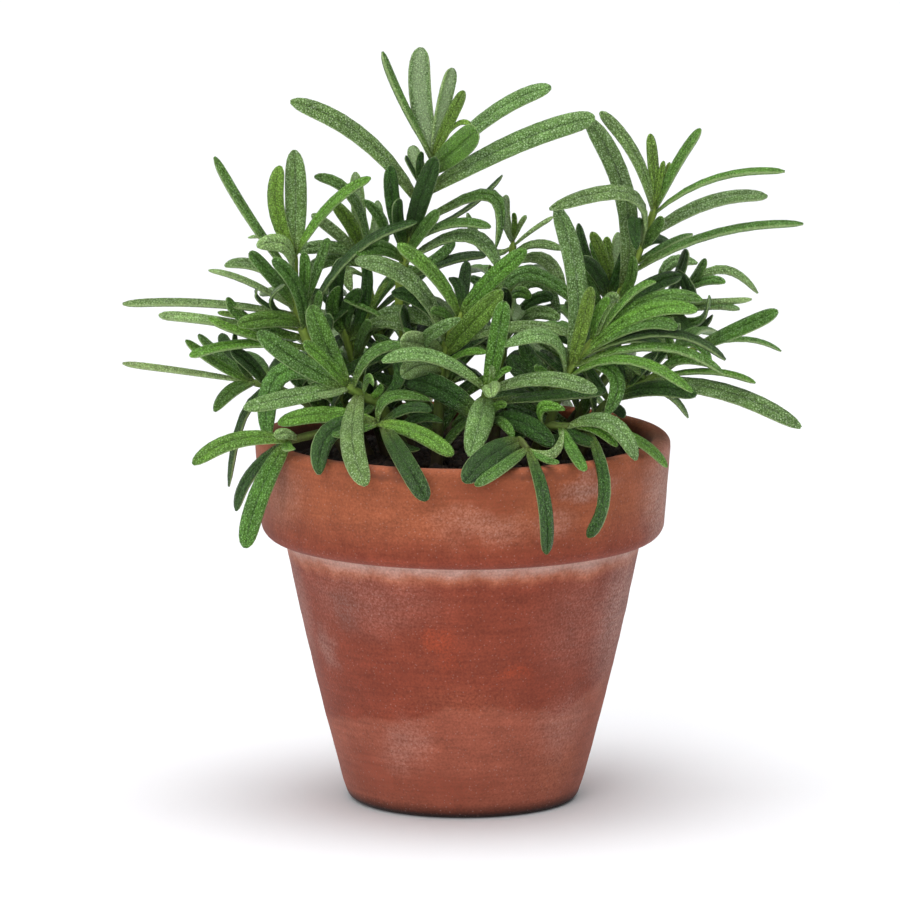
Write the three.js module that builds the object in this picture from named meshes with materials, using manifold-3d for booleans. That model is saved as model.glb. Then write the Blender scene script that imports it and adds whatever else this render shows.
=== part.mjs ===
// A rosemary plant growing in a terracotta pot.
//
// Frame: millimetres, +Z up. The origin is the centre of the pot's foot, on the surface it stands on.
// The plant's front faces -Y and +X is on the right of someone who looks at that front.
//
// Every stem and leaf is placed from three numbers: how far across it is, how far up it appears to
// someone who looks at the front from a little above, and how far back it is. The function `place`
// turns those three into a point of the frame.

import * as THREE from "three";
import { mergeVertices } from "three/addons/utils/BufferGeometryUtils.js";
import Module from "manifold-3d";

const wasm = await Module();
wasm.setup();

// ---- Driving dimensions -------------------------------------------------------------------------

const GAP = 0.3; // clearance between two pieces that touch
const SIGHT_ANGLE = THREE.MathUtils.degToRad(10); // how far above level the front is looked at from
const SIGHT_DISTANCE = 1800; // and from how far away
const SIGHT_POINT = { across: -2.8, height: 76.6 }; // the point that is looked at, on the plane y = 0

const POT = {
  height: 80,
  rimRadius: 45.2, // outside, at the lip
  rimFoot: 44.1, // outside, at the lower edge of the rim band
  rimDepth: 22.2, // height of the rim band
  bodyTop: 38.9, // outside, where the body meets the rim band
  bodyFoot: 25.2, // outside, just above the foot
  bulge: 0.55, // how far the body's middle stands out from a straight taper
  mouth: 41, // inside, at the lip
  floorRadius: 21, // inside, at the floor
  floor: 6, // thickness of the floor
  hole: 5, // radius of the drainage hole
  sides: 40,
};

const SOIL = { level: 73, dome: 0.8, sides: 40 };

const LEAF = {
  thickness: 1.3,
  sides: 4, // corners of the blade's cross-section
  steps: 5, // rings along the blade
  narrowest: 2.6, // narrower leaves are too slight for a solid of their own
};

const STEM = { sides: 6, steps: 7 };

// Leaves that point away from the front, a pair for each stretch of these stems above the lowest.
const REAR = {
  stems: [
    "middle", "front_middle", "back_middle", "centre_right", "right", "right_inner",
    "right_low", "left", "back_left", "left_inner", "left_low",
  ],
  lowest: 86, // how far up a stretch's middle is, at the least
  highest: 112, // and at the most
  spread: 9, // how far to each side the tips are
  rise: 6, // how far above their roots the tips appear
  reach: [21, 24], // how far behind the stem the tips are, in turn
  width: 4.2,
  roll: 62,
  colours: ["mid", "dark", "sage"],
};

const OWN_NODES = 37; // the longest leaves are nodes of their own, the others are one with their stem
const LEAST_SHARE = 0.6; // a leaf that its neighbours would cut down further than this is left out
const LEAST_OVERLAP = 0.05; // mm3 that a leaf shares with the stem it grows from

const COLOURS = {
  terracotta: 0xb4654a,
  soil: 0x231c18,
  bark: 0x7d8340,
  dark: 0x35532f,
  mid: 0x4f7d3a,
  sage: 0x6f8f68,
  bright: 0x5f9433,
  light: 0x93b07c,
  young: 0x87a038,
};

// ---- The plant ----------------------------------------------------------------------------------
//
// stem:   points up the middle of the stem, each [across, up, back]
// girth:  diameter at the soil and at the top
// leaves: each [root], [middle], [tip], width, roll, colour. The root grows from the nearest point
//         of the stem. A middle without a third number lies half-way back between root and tip.
//         At roll 0 the upper face is turned to the front, at 90 it is turned up, at 180 to the back.

const SHOOTS = {
  "middle": {
    "stem": [[-3, 64, 2], [-9, 88, 3], [-13.5, 106, 3], [-12, 120, 2], [-6.5, 139, 0]],
    "girth": [2.9, 1.8],
    "leaves": [
      [[-6.3, 139], [-13.2, 151.5], [-17.5, 162, -4], 4, 80, "mid"],
      [[-6.8, 139], [-9.2, 152], [-9, 163, 3], 5, 180, "sage"],
      [[-6, 139.5], [-4.3, 150], [-2.2, 158.5, 3], 3.6, 150, "sage"],
      [[-5.8, 139.5], [-3, 147], [0.3, 153.5, -4], 3.2, 35, "young"],
      [[-10.3, 129], [-22, 143.5], [-37.5, 151.2, -8], 4.5, 32, "sage"],
      [[-7.2, 135.8], [6.5, 148.5], [19.2, 154.3, -3], 4.3, 38, "sage"],
      [[-8, 130.5], [11, 142], [28.7, 147.7, -10], 5.2, 25, "sage"],
      [[-6.5, 136], [-0.8, 141.5], [3, 145, -20], 6, 12, "bright"],
      [[-6, 139.5], [-2, 145.8], [1.7, 146.1, -5], 1.5, 60, "young"],
      [[-12, 120], [-9.2, 130], [-5.8, 139, -9], 4.4, 12, "dark"],
      [[-12.3, 118], [-15, 128], [-15.7, 137.3, -4], 3.4, 10, "dark"],
      [[-9, 132], [-9.4, 136], [-9, 140.3, -5], 1.9, 20, "dark"],
      [[-9, 132.5], [-11, 136.5], [-12.5, 139.3, -4], 1.4, 50, "dark"],
      [[-12, 119], [-14, 125], [-14, 130, -8], 2.8, 20, "dark"],
      [[-8.5, 133], [-10, 138], [-11.2, 141.5, 7], 3.2, 180, "sage"],
      [[-12, 117.5], [-9, 123], [-5.2, 127.3, -9], 3.3, 40, "mid"],
      [[-12, 119.5], [-3, 124.7], [6, 123.8, -9], 3.5, 66, "mid"],
      [[-12, 116], [0.5, 122.3], [8, 114.5, -8], 4.6, 52, "sage"],
      [[-12.5, 112], [-3, 116.8], [5, 117.8, 9], 3.5, 60, "dark"],
      [[-11.5, 123], [5.5, 131], [7.2, 119.5, -6], 3.5, 38, "mid"],
      [[-11, 122], [-0.5, 127], [8.6, 135.2, 7], 2.8, 86, "dark"],
      [[-13, 117], [-18, 119.5], [-23, 117.8, -7], 4.2, 30, "mid"],
      [[-12.8, 113], [-6, 117], [-2, 121, 8], 2.6, 30, "mid"]
    ]
  },
  "front_middle": {
    "stem": [[-6, 65, -8], [-5, 88, -7], [-4, 97, -7], [-0.3, 105.5, -8]],
    "girth": [2.5, 1.8],
    "leaves": [
      [[-0.5, 105], [6, 112.3], [13.8, 119, -12], 4.1, 18, "bright"],
      [[-4, 96.5], [1.5, 102.5], [8.6, 110, -16], 5.1, 12, "young"],
      [[-3.5, 99], [-11, 112], [-23.5, 116.5, -14], 4.7, 38, "sage"],
      [[-0.5, 104.5], [-6, 113.5], [-14.3, 120, -17], 3.9, 42, "bright"],
      [[-4, 96], [-9, 98.5], [-13.5, 99, -24], 5.2, 10, "light"],
      [[-4.5, 93], [-9, 94], [-13.3, 91.6, -24], 5, 5, "light"],
      [[-3.5, 98], [11, 102.3], [23.6, 100.5, -14], 3.9, 55, "sage"],
      [[-4.2, 96], [-8.5, 99], [-0.6, 104, -22], 3.2, 35, "sage"],
      [[-4.6, 93], [0, 96.5], [5.2, 96.6, -14], 2.4, 55, "bright"],
      [[-1.5, 103], [-4.5, 105.5], [-7, 105.4, -14], 2.2, 20, "mid"],
      [[-3, 100], [-8, 107.5], [-15.5, 109.5, -10], 4.4, 20, "dark"],
      [[-1, 104], [0, 110], [0.8, 116.5, 2], 2.8, 10, "dark"],
      [[-0.6, 105], [-0.5, 110.5], [-3, 112.8, -2], 3, 20, "dark"],
      [[-0.5, 105], [2, 109], [3.2, 112.4, -3], 1.4, 30, "dark"]
    ]
  },
  "front_centre": {
    "stem": [[2, 65, -14], [4, 78, -18], [5.2, 88.5, -21]],
    "girth": [2.5, 2],
    "leaves": [
      [[4.8, 88.5], [-6.5, 95.8], [-17.6, 94.6, -27], 4.2, 48, "sage"],
      [[4.8, 87], [3.8, 82], [1.5, 74, -38], 6, 5, "sage"],
      [[5.3, 88], [7.3, 98.5], [9, 107.8, -26], 4.1, 10, "mid"],
      [[5.2, 88.5], [6, 89.3], [6.4, 87, -34], 4.2, 10, "light"],
      [[5.3, 88], [17.5, 91], [29.2, 88, -29], 4.3, 46, "sage"],
      [[5.3, 88.3], [6.2, 91.5], [6.2, 93.8, -23], 1.7, 20, "light"],
      [[5.4, 88], [8, 92], [10.6, 93, -24], 1.7, 40, "bright"],
      [[5, 86], [19, 87.3], [31, 88.2, -20], 3.6, 55, "dark"],
      [[3.6, 82], [-5, 88.8], [-13.2, 90.5, -13], 5.6, 8, "dark"],
      [[4.4, 81], [6.5, 84.5], [9.5, 85.2, -28], 2.2, 40, "bright"],
      [[4.4, 80], [7.6, 82], [11, 78.2, -31], 2.4, 35, "mid"],
      [[4.4, 82], [12.5, 81.5], [19.6, 76.2, -31], 4.6, 15, "dark"]
    ]
  },
  "back_middle": {
    "stem": [[6, 68, 11], [8.5, 95, 18], [11, 121, 22]],
    "girth": [2.4, 1.5],
    "leaves": [
      [[10.8, 120.5], [9.3, 126], [9.5, 130.9, 21], 2.2, 175, "light"],
      [[11, 121], [11.2, 124.5], [11.1, 127, 19], 1.3, 20, "young"],
      [[11, 121], [12.2, 124], [13.8, 126.4, 19], 1.4, 30, "light"],
      [[10.9, 120], [15, 123.2], [19.6, 126.1, 18], 1.8, 70, "light"],
      [[10.7, 118], [15.5, 120.3], [21.5, 119, 15], 3, 60, "sage"],
      [[10.5, 116], [17.5, 117], [22, 110, 16], 3.8, 42, "sage"],
      [[10.8, 119.5], [5, 119], [1, 127, 26], 2.6, 30, "sage"],
      [[9.5, 106], [11.5, 109.6], [14.8, 108.6, 10], 2.7, 35, "bright"],
      [[9.2, 101], [15, 107.8], [19.6, 108.3, 12], 3, 30, "dark"],
      [[8.8, 99], [14.5, 105], [21, 103.8, 8], 3.6, 48, "sage"],
      [[9.8, 108], [17, 112], [21, 104, 20], 3.2, 30, "sage"],
      [[9.6, 106], [6.8, 111], [5.8, 115.7, 15], 1.8, 30, "young"],
      [[9.2, 101], [12, 106.5], [11, 103.5, 6], 4.6, 10, "sage"],
      [[9.8, 109], [15, 113.5], [18.5, 113.2, 30], 3.2, 60, "light"]
    ]
  },
  "centre_right": {
    "stem": [[14, 66, -8], [18.5, 80, -13], [22.5, 91.5, -15], [29, 100, -14]],
    "girth": [2.5, 1.6],
    "leaves": [
      [[23, 93], [24.9, 111], [20.2, 128.4, -13], 4.6, 10, "sage"],
      [[22.3, 91], [19.3, 99.8], [8.8, 98, -24], 4.4, 50, "sage"],
      [[23.3, 93], [25.7, 101.5], [27.9, 110.9, -21], 3.3, 10, "young"],
      [[22, 90.5], [35.5, 95.2], [50, 88, -27], 3.4, 60, "bright"],
      [[23.5, 93.5], [42, 98], [56.5, 92.2, -22], 3.7, 70, "mid"],
      [[25, 95.8], [43.5, 101], [57.1, 95, -18], 3.7, 66, "dark"],
      [[25.5, 96], [38, 102.8], [46.6, 101.8, -19], 3.7, 45, "mid"],
      [[25, 95], [38.5, 105], [51, 105.7, -17], 3.9, 38, "bright"],
      [[28.5, 99.5], [40.5, 108], [52, 108, -13], 3.9, 45, "mid"],
      [[28.5, 100], [36, 109], [42, 112, -13], 3, 62, "bright"],
      [[28, 99.5], [31.3, 107.3], [33.8, 107.6, -18], 3.2, 30, "sage"],
      [[27.5, 99], [29.3, 105], [32, 108.4, -19], 2.4, 30, "bright"],
      [[24.5, 95], [33.2, 91.5], [31, 83, -24], 3.6, 20, "mid"],
      [[20.5, 86], [13.5, 92], [10, 96, -12], 4.6, 15, "dark"],
      [[21, 88], [15.5, 94], [13, 99, -10], 3.6, 20, "dark"],
      [[19.5, 83], [13, 87.5], [6, 86.4, -14], 3.2, 50, "dark"],
      [[21.5, 89], [17.5, 92.5], [15.6, 93, -20], 2, 30, "bright"],
      [[25, 95.5], [36, 100], [44, 97.5, -6], 3.4, 50, "dark"]
    ]
  },
  "right": {
    "stem": [[20, 65, 6], [26.5, 85, 4], [29.5, 95, 4], [33.5, 107, 4], [38, 118, 3], [42, 128.5, 2]],
    "girth": [2.8, 1.6],
    "leaves": [
      [[35, 110], [35.4, 130], [26.9, 147.5, -7], 4.7, 14, "sage"],
      [[41.3, 127], [37.6, 139.2], [29.8, 148.9, -3], 3.4, 42, "sage"],
      [[41.7, 128], [41.5, 136], [40.7, 144.2, 2], 2.7, 20, "young"],
      [[42, 128.3], [42.8, 134], [43.7, 138.3, 1], 1.4, 20, "young"],
      [[42, 128.3], [43.5, 133.5], [45, 138, 3], 1.4, 20, "young"],
      [[42, 128], [46.2, 137.2], [51.7, 145.3, 0], 3.3, 55, "bright"],
      [[41.5, 126.5], [54.3, 134.4], [70, 136, -4], 3.5, 80, "bright"],
      [[39.5, 121], [53, 129.2], [66.2, 130.6, 8], 4.1, 48, "sage"],
      [[36.5, 114], [54, 122.4], [74, 124.6, -4], 3.7, 72, "mid"],
      [[39, 120], [36.5, 131, -12], [18.8, 127.8, -14], 4, 45, "sage"],
      [[37.5, 116], [44.5, 120.3], [49.9, 122.4, 9], 3, 70, "mid"],
      [[39, 119], [41.2, 122.5], [43.5, 126, -6], 2.9, 20, "mid"],
      [[34, 107], [36.4, 112.5], [37, 117.6, -4], 2.6, 20, "mid"],
      [[40, 122], [37.5, 125.5], [37.8, 119, -8], 3.4, 20, "dark"],
      [[33.5, 107], [41, 111.3], [47.5, 113.4, 8], 4, 30, "dark"],
      [[38.5, 119], [42, 121.5], [46, 119.5, 12], 3, 40, "dark"]
    ]
  },
  "right_inner": {
    "stem": [[13, 68, 8], [22, 92, 13], [30.5, 107, 14], [32.5, 113, 14]],
    "girth": [2.2, 1.5],
    "leaves": [
      [[31, 108.5], [27.3, 116], [25.1, 124.7, 10], 2.7, 25, "dark"],
      [[32.3, 111.5], [30.7, 117], [27.9, 122.8, 9], 2.7, 12, "young"],
      [[32.4, 112.5], [31.5, 117.5], [31.3, 121.8, 12], 2.6, 20, "young"],
      [[32.5, 113], [33.2, 118], [33.7, 122.8, 14], 3, 150, "light"],
      [[31.2, 108.5], [29.7, 113.3], [25.8, 117.3, 5], 3.4, 18, "dark"],
      [[30.3, 106], [28.3, 110], [26, 114.8, 8], 2.6, 30, "mid"],
      [[32, 111], [29, 117], [28, 120.8, 12], 1.6, 30, "bright"],
      [[31, 108.5], [34, 113.8], [35.5, 119.2, 9], 3.2, 15, "dark"],
      [[29, 104], [16, 113.5], [9.3, 109.8, 8], 4.2, 35, "mid"]
    ]
  },
  "right_low": {
    "stem": [[21, 65, -3], [29, 82, -4], [34, 87.3, -3], [41, 91, 0], [51, 98, 2]],
    "girth": [2.7, 1.5],
    "leaves": [
      [[37, 89.3], [55, 88.6], [73.5, 80.3, -8], 4.5, 34, "sage"],
      [[33, 86], [41.5, 88.9], [50.7, 87.2, -12], 4.2, 40, "dark"],
      [[35, 88], [43.5, 88.2], [49, 82.4, -4], 2.8, 66, "sage"],
      [[41, 91], [53.5, 92.6], [63.6, 90, -6], 3, 76, "bright"],
      [[50.5, 97.6], [60, 101.8], [68.5, 105.6, -6], 4.1, 38, "mid"],
      [[50.5, 97.8], [61, 99.6], [69.2, 96.9, 3], 2.5, 74, "mid"],
      [[41.5, 91.5], [47.5, 95.3], [54.6, 93.7, -3], 3.4, 52, "mid"],
      [[46, 94.5], [49.5, 99], [54, 95, -6], 2.8, 50, "mid"],
      [[45, 94], [45, 102.5], [47.2, 101.5, -5], 2.8, 40, "mid"],
      [[34.5, 87.6], [38.5, 92], [42.3, 96.8, 2], 2, 60, "dark"],
      [[36, 88.5], [41, 93.5], [45, 98, 8], 2.4, 60, "dark"],
      [[30.5, 84], [33, 84.6], [35, 82.5, -16], 2.6, 40, "dark"]
    ]
  },
  "back_right": {
    "stem": [[15, 70, 18], [31, 91, 25], [42, 103, 28], [48.5, 110.5, 28]],
    "girth": [2.4, 1.5],
    "leaves": [
      [[46, 107.5], [49.3, 109], [46.7, 114.5, 20], 3.4, 10, "dark"],
      [[46, 107.5], [55, 107.7], [62.8, 108.2, 24], 3, 74, "light"],
      [[44, 105], [54, 106.7], [60, 105.9, 22], 3, 74, "sage"],
      [[44, 105], [51, 103.4], [53.5, 109, 16], 2.6, 45, "mid"],
      [[47.5, 109.5], [52.5, 112.2], [57, 111.8, 22], 3, 58, "mid"],
      [[48.3, 110.5], [56.5, 114.8], [64.1, 109.5, 28], 3.4, 62, "sage"],
      [[48.5, 110.5], [50.9, 113.5], [52.8, 117, 24], 2.6, 40, "mid"],
      [[43, 104], [46.4, 112], [48.7, 119, 18], 2.9, 40, "dark"],
      [[43.5, 104.5], [44, 115], [51, 116, 24], 3.4, 50, "sage"],
      [[43, 104], [49.5, 101.5], [54.3, 104.8, 24], 2.6, 40, "dark"],
      [[45, 106.5], [48.6, 102], [48.2, 100.5, 14], 3.2, 10, "dark"],
      [[40, 101], [36, 104.5], [33, 99.5, 22], 3.4, 30, "dark"],
      [[38, 98.5], [45, 101], [52, 99.2, 34], 3.2, 40, "dark"]
    ]
  },
  "left": {
    "stem": [[-16, 65, 3], [-27.5, 88, 0], [-33.3, 98, -1], [-36.3, 108, -1], [-36.8, 118.5, -1]],
    "girth": [2.8, 1.7],
    "leaves": [
      [[-36.8, 118], [-36.3, 129], [-36.7, 140.7, 1], 4.9, 5, "sage"],
      [[-37, 118], [-40.6, 128], [-39.6, 137.2, -4], 3.8, -15, "young"],
      [[-36.6, 112.5], [-46.3, 126], [-54, 139.2, -3], 3.1, 55, "mid"],
      [[-36.6, 117.5], [-29, 128.6], [-20, 134.6, -4], 3.2, 50, "bright"],
      [[-36.6, 114], [-38.8, 120], [-44.8, 119.7, -9], 4.2, 35, "light"],
      [[-36.5, 110.5], [-45, 115.6], [-51.8, 115.4, -4], 3.4, 52, "sage"],
      [[-36, 106], [-46.5, 112], [-55.3, 114.5, 2], 3, 74, "light"],
      [[-36, 106.5], [-41.8, 113.5], [-46.4, 118.4, -7], 3.4, 34, "mid"],
      [[-34, 101], [-36, 110.5], [-41.4, 116.9, -12], 3.4, 24, "mid"],
      [[-35.8, 104.5], [-55.5, 107.4], [-74, 107.2, -4], 3.5, 72, "sage"],
      [[-34, 100], [-52.5, 103.4], [-66.1, 104.8, 4], 3.4, 60, "light"],
      [[-33, 97], [-45.5, 100.4], [-55.4, 104, -7], 3, 56, "bright"],
      [[-33.4, 97.6], [-48, 98.6], [-59.4, 95.8, -8], 3.2, 58, "bright"],
      [[-34.5, 101.5], [-46, 104], [-53.3, 105.4, 2], 2, 60, "young"],
      [[-34, 100], [-45.8, 103], [-51.2, 108.6, -4], 3, 30, "mid"],
      [[-34.5, 102.9], [-41, 104], [-48.9, 102.7, -13], 4, 24, "bright"],
      [[-37, 118], [-42, 121.4], [-46.7, 121.6, 3], 1.7, 70, "light"],
      [[-35.5, 104], [-43.5, 107.5], [-44.6, 110.4, -7], 1.8, 60, "dark"],
      [[-34.8, 102], [-41.5, 107], [-38.6, 111.4, -9], 2, 60, "dark"],
      [[-35.6, 104.5], [-31.8, 114.5], [-29.3, 121.5, 3], 2.6, 30, "mid"],
      [[-36, 106], [-34.4, 112.5], [-34.6, 118.5, -5], 2.8, 15, "mid"],
      [[-34.6, 102], [-24.4, 118], [-10, 125, -8], 3.7, 68, "dark"],
      [[-33.8, 99], [-32, 105.5], [-31, 110, -7], 2.2, 30, "mid"]
    ]
  },
  "back_left": {
    "stem": [[-9, 68, 12], [-15.5, 90, 15], [-19.5, 106, 16], [-22, 119, 16]],
    "girth": [2.4, 1.6],
    "leaves": [
      [[-21.8, 118.5], [-22.6, 127], [-23.4, 135.9, 17], 3.3, 175, "light"],
      [[-20.8, 114], [-17, 122.5], [-21.6, 129.7, 8], 3, 40, "mid"],
      [[-21.6, 117], [-27.5, 122.7], [-32.9, 126.6, 14], 3.5, 50, "sage"],
      [[-20, 110], [-22.8, 128.4], [-32.3, 134.8, 8], 3, 50, "mid"],
      [[-21.6, 117], [-28.5, 119.6], [-36, 118.6, 9], 3.5, 40, "sage"],
      [[-21.3, 115.5], [-28.8, 116.8], [-34.2, 113.6, 10], 3.5, 35, "sage"],
      [[-22, 118.8], [-24.4, 124.5], [-28.4, 129.4, 12], 3.3, 15, "young"],
      [[-21.5, 117], [-19, 123], [-18.6, 129.7, 20], 2.8, 165, "sage"],
      [[-20.5, 113], [-25, 114.5], [-24.3, 110, 6], 3, 20, "light"],
      [[-19.5, 106], [-16, 112], [-10.5, 115, 8], 3.4, 40, "mid"],
      [[-21.8, 118.5], [-24.3, 124], [-25.9, 127.8, 18], 3, 160, "light"]
    ]
  },
  "left_inner": {
    "stem": [[-15, 68, 8], [-19.5, 84, 7], [-23.5, 94, 6], [-26, 102.5, 5]],
    "girth": [2.4, 1.6],
    "leaves": [
      [[-25.8, 101.5], [-27.6, 110], [-26, 117.3, 2], 3.4, 10, "dark"],
      [[-25.6, 100.5], [-28.4, 105.6], [-26.9, 111, -2], 3.1, 10, "mid"],
      [[-25.6, 100], [-25.2, 106], [-22, 110.3, 0], 3.3, 15, "dark"],
      [[-25, 99], [-21.4, 107.5], [-21, 116.7, 4], 2.8, 12, "dark"],
      [[-24.5, 96.5], [-20.5, 105.5], [-16.3, 112.2, 4], 1.5, 40, "young"],
      [[-24, 95], [-20, 102.8], [-12, 101.6, -3], 3.6, 52, "sage"],
      [[-23.5, 93.5], [-17.5, 104.5], [-5.8, 102.5, -3], 4.2, 40, "sage"],
      [[-25.9, 102], [-31, 109.5], [-32.8, 107, 2], 2, 40, "dark"],
      [[-23, 92], [-20, 97], [-15.8, 99.5, 9], 2.4, 40, "mid"]
    ]
  },
  "left_low": {
    "stem": [[-20, 65, -6], [-30, 82, 0], [-38.5, 88, 4], [-46, 90.3, 4]],
    "girth": [2.5, 1.5],
    "leaves": [
      [[-45.8, 90.2], [-53.2, 94.2], [-60.3, 99.3, 0], 2.8, 42, "bright"],
      [[-45.5, 90.4], [-52.3, 95.6], [-57.5, 100.6, 6], 2.8, 50, "mid"],
      [[-45.6, 90], [-59.2, 92.4], [-74, 94.3, 2], 2.8, 75, "light"],
      [[-45.6, 90], [-50.2, 88.4], [-54, 83.8, -2], 3.8, 35, "mid"],
      [[-45.6, 90.2], [-50.3, 96.2], [-52.4, 100.8, 10], 3, 20, "dark"],
      [[-45, 90.2], [-48.7, 95], [-49.5, 101.2, 2], 1.8, 30, "dark"],
      [[-42.5, 89.4], [-46.3, 94.2], [-50.4, 97.2, -4], 3.3, 18, "dark"],
      [[-34, 85.5], [-45.5, 86.5], [-50.9, 67.5, 4], 3.1, 55, "dark"],
      [[-31, 83.5], [-34, 89], [-38, 91.5, -2], 3.6, 30, "dark"]
    ]
  },
  "left_front": {
    "stem": [[-12, 66, -12], [-17, 83.5, -18], [-21.5, 87, -20], [-25.3, 89.3, -21]],
    "girth": [2.5, 1.8],
    "leaves": [
      [[-25, 89], [-29.8, 98.2], [-33, 106.9, -25], 5, 12, "mid"],
      [[-25.2, 89.2], [-29.4, 94.4], [-34.6, 98.9, -29], 3, 20, "bright"],
      [[-25, 89.2], [-35, 94.2], [-44.6, 101.2, -21], 4.6, 18, "mid"],
      [[-25, 88.8], [-36, 87.2], [-47.7, 84.5, -25], 4.3, 30, "sage"],
      [[-24.8, 89], [-28, 87.8], [-31.4, 87.3, -30], 1.8, 30, "light"],
      [[-22.5, 87.5], [-24.1, 77.6, -37], [-21, 67.7, -47], 5.3, 4, "sage"],
      [[-24.8, 89.2], [-39.4, 92.2, -15], [-42.4, 77.7, -20], 5, 22, "mid"],
      [[-24, 88.6], [-20, 96.3], [-12.4, 98.2, -22], 3.3, 48, "mid"],
      [[-22, 87.2], [-20.6, 91], [-19.4, 89.3, -26], 2.2, 30, "mid"],
      [[-20.5, 86.5], [-18, 88.5], [-17.8, 89.8, -24], 1.9, 20, "bright"],
      [[-25.2, 89.3], [-30, 91.3], [-33.6, 90, -16], 2.6, 40, "mid"],
      [[-19, 85.5], [-14, 90.5], [-15, 96, -12], 3, 30, "dark"]
    ]
  },
  "front_left": {
    "stem": [[-9, 67, -19], [-14, 78.5, -25], [-18.6, 81.4, -28]],
    "girth": [2.2, 1.6],
    "leaves": [
      [[-18.4, 81], [-29.8, 83.2], [-40.2, 81.2, -25], 4, 28, "bright"],
      [[-18.4, 81.4], [-10, 79.2], [-2.2, 74.2, -41], 3.9, 30, "bright"],
      [[-18.4, 81], [-28.6, 79.6, -32], [-31.3, 70.1, -39], 4.5, 5, "dark"],
      [[-17.5, 80.6], [-12.8, 73.2, -43], [-7.8, 64.4, -49.5], 4.4, 5, "dark"],
      [[-18.6, 81.4], [-16, 87], [-7.2, 86.3, -26], 3.3, 48, "mid"],
      [[-17.8, 81], [-12, 84.6], [-6.8, 83.9, -30], 2.9, 40, "dark"],
      [[-15, 79], [-9.5, 82.4], [-4.3, 81.5, -24], 2.6, 40, "dark"],
      [[-18.5, 81], [-23.5, 79.6], [-28.4, 78.6, -35], 2.2, 40, "mid"],
      [[-16, 79.8], [-13.6, 76.5, -32], [-9.4, 75.6, -36], 2.6, 30, "dark"]
    ]
  },
  "far_left": {
    "stem": [[-20, 66, -15], [-24, 75.5, -20], [-28, 79.3, -23], [-38.3, 77.4, -26]],
    "girth": [2.4, 1.6],
    "leaves": [
      [[-38, 77.2], [-49.2, 77.6], [-58.7, 72.3, -32], 4.1, 30, "bright"],
      [[-38, 77.3], [-44, 66.4], [-47.3, 54.1, -31], 4.7, 8, "mid"],
      [[-38, 77.4], [-46, 70.4], [-49.3, 62.2, -23], 3.2, 42, "dark"],
      [[-36, 77.8], [-38.6, 79], [-40.8, 78.3, -32], 2.8, 30, "light"],
      [[-37.8, 77.4], [-38.2, 76], [-36.6, 75.6, -33], 2.6, 20, "bright"]
    ]
  },
  "front_right": {
    "stem": [[7, 67, -20], [11.5, 77, -29], [14, 75.6, -36]],
    "girth": [2.1, 1.6],
    "leaves": [
      [[12.5, 77.4], [6, 74.2, -42.5], [0.2, 68.4, -49], 5.6, 8, "dark"],
      [[13.8, 75.8], [8.8, 71.9, -45], [2.6, 67.7, -49.5], 3.2, 40, "mid"],
      [[14, 75.6], [17.6, 65, -50], [18.2, 52.8, -48], 3.2, 20, "dark"],
      [[13.9, 75.6], [17.4, 73.6], [20.9, 72.7, -42], 1.8, 40, "mid"],
      [[13.9, 75.6], [19.4, 74.6], [21.6, 79.6, -36], 2.8, 40, "light"],
      [[9, 72.5], [11.5, 78.5], [17, 79.5, -24], 3.2, 30, "dark"]
    ]
  },
  "front_right_low": {
    "stem": [[13, 67, -16], [17.5, 79.3, -24], [22.5, 80.5, -27], [31, 80, -24]],
    "girth": [2.1, 1.5],
    "leaves": [
      [[21.2, 80], [23.7, 75.6, -36], [26.6, 70.9, -42.5], 2.9, 25, "mid"],
      [[22.5, 80.5], [31.8, 81.4], [37.7, 73.2, -33], 4.3, 28, "sage"],
      [[30.5, 80], [38.6, 77.2], [44.4, 71.7, -23.5], 2.9, 42, "bright"],
      [[27, 80.3], [30.8, 67, -42], [27.1, 56.5, -44.5], 3, 25, "dark"],
      [[18, 79.4], [17, 84.6], [22.2, 84.2, -29], 2.9, 35, "bright"],
      [[21, 80], [24.6, 78.4], [29.6, 76.4, -31], 3.2, 30, "dark"],
      [[24, 80.5], [29, 80], [33.6, 76.2, -30], 2.8, 40, "bright"],
      [[16.5, 77], [20.5, 77.5], [25, 75.8, -22], 3.2, 30, "dark"]
    ]
  },
  "back_low_left": {
    "stem": [[-12, 70, 20], [-18, 84, 29], [-23, 94, 35]],
    "girth": [2.2, 1.5],
    "leaves": [
      [[-22.8, 93.5], [-27, 99.5], [-29.5, 104.5, 45], 4.2, 160, "mid"],
      [[-22.5, 93], [-30, 97], [-37, 95, 43], 4, 60, "mid"],
      [[-22.8, 93.5], [-20.5, 96], [-18, 90.5, 50.5], 4.2, 60, "mid"],
      [[-21.5, 91], [-16, 96], [-11.5, 95, 45], 3.8, 60, "dark"],
      [[-20, 88], [-28, 90], [-34.5, 84.5, 41], 4.2, 60, "mid"],
      [[-19.5, 87], [-21, 89], [-26, 81.5, 50], 4.2, 60, "sage"],
      [[-19, 86], [-14, 89], [-10.5, 86, 42], 3.8, 60, "dark"],
      [[-23, 94], [-25, 99], [-24, 104, 38], 2.4, 160, "young"]
    ]
  },
  "back": {
    "stem": [[-2, 72, 22], [-3.5, 88, 30], [-3, 98, 34]],
    "girth": [2.2, 1.5],
    "leaves": [
      [[-3, 97.5], [-6, 103], [-9, 108, 44], 4.2, 160, "mid"],
      [[-3, 97.5], [1, 102.5], [4.5, 106, 45], 4, 160, "sage"],
      [[-3.2, 95], [-9, 99], [-14.5, 97.5, 43], 3.8, 60, "mid"],
      [[-3.2, 95], [3, 98.5], [9.5, 95.5, 44], 3.8, 60, "mid"],
      [[-3.2, 94], [-1.5, 97], [0.5, 90.5, 50.5], 4.2, 60, "mid"],
      [[-3.4, 91], [-6, 92.5], [-7.5, 84.5, 49], 4.2, 60, "sage"],
      [[-3.4, 90], [2.5, 92], [6, 86.5, 45], 3.8, 60, "dark"],
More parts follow.
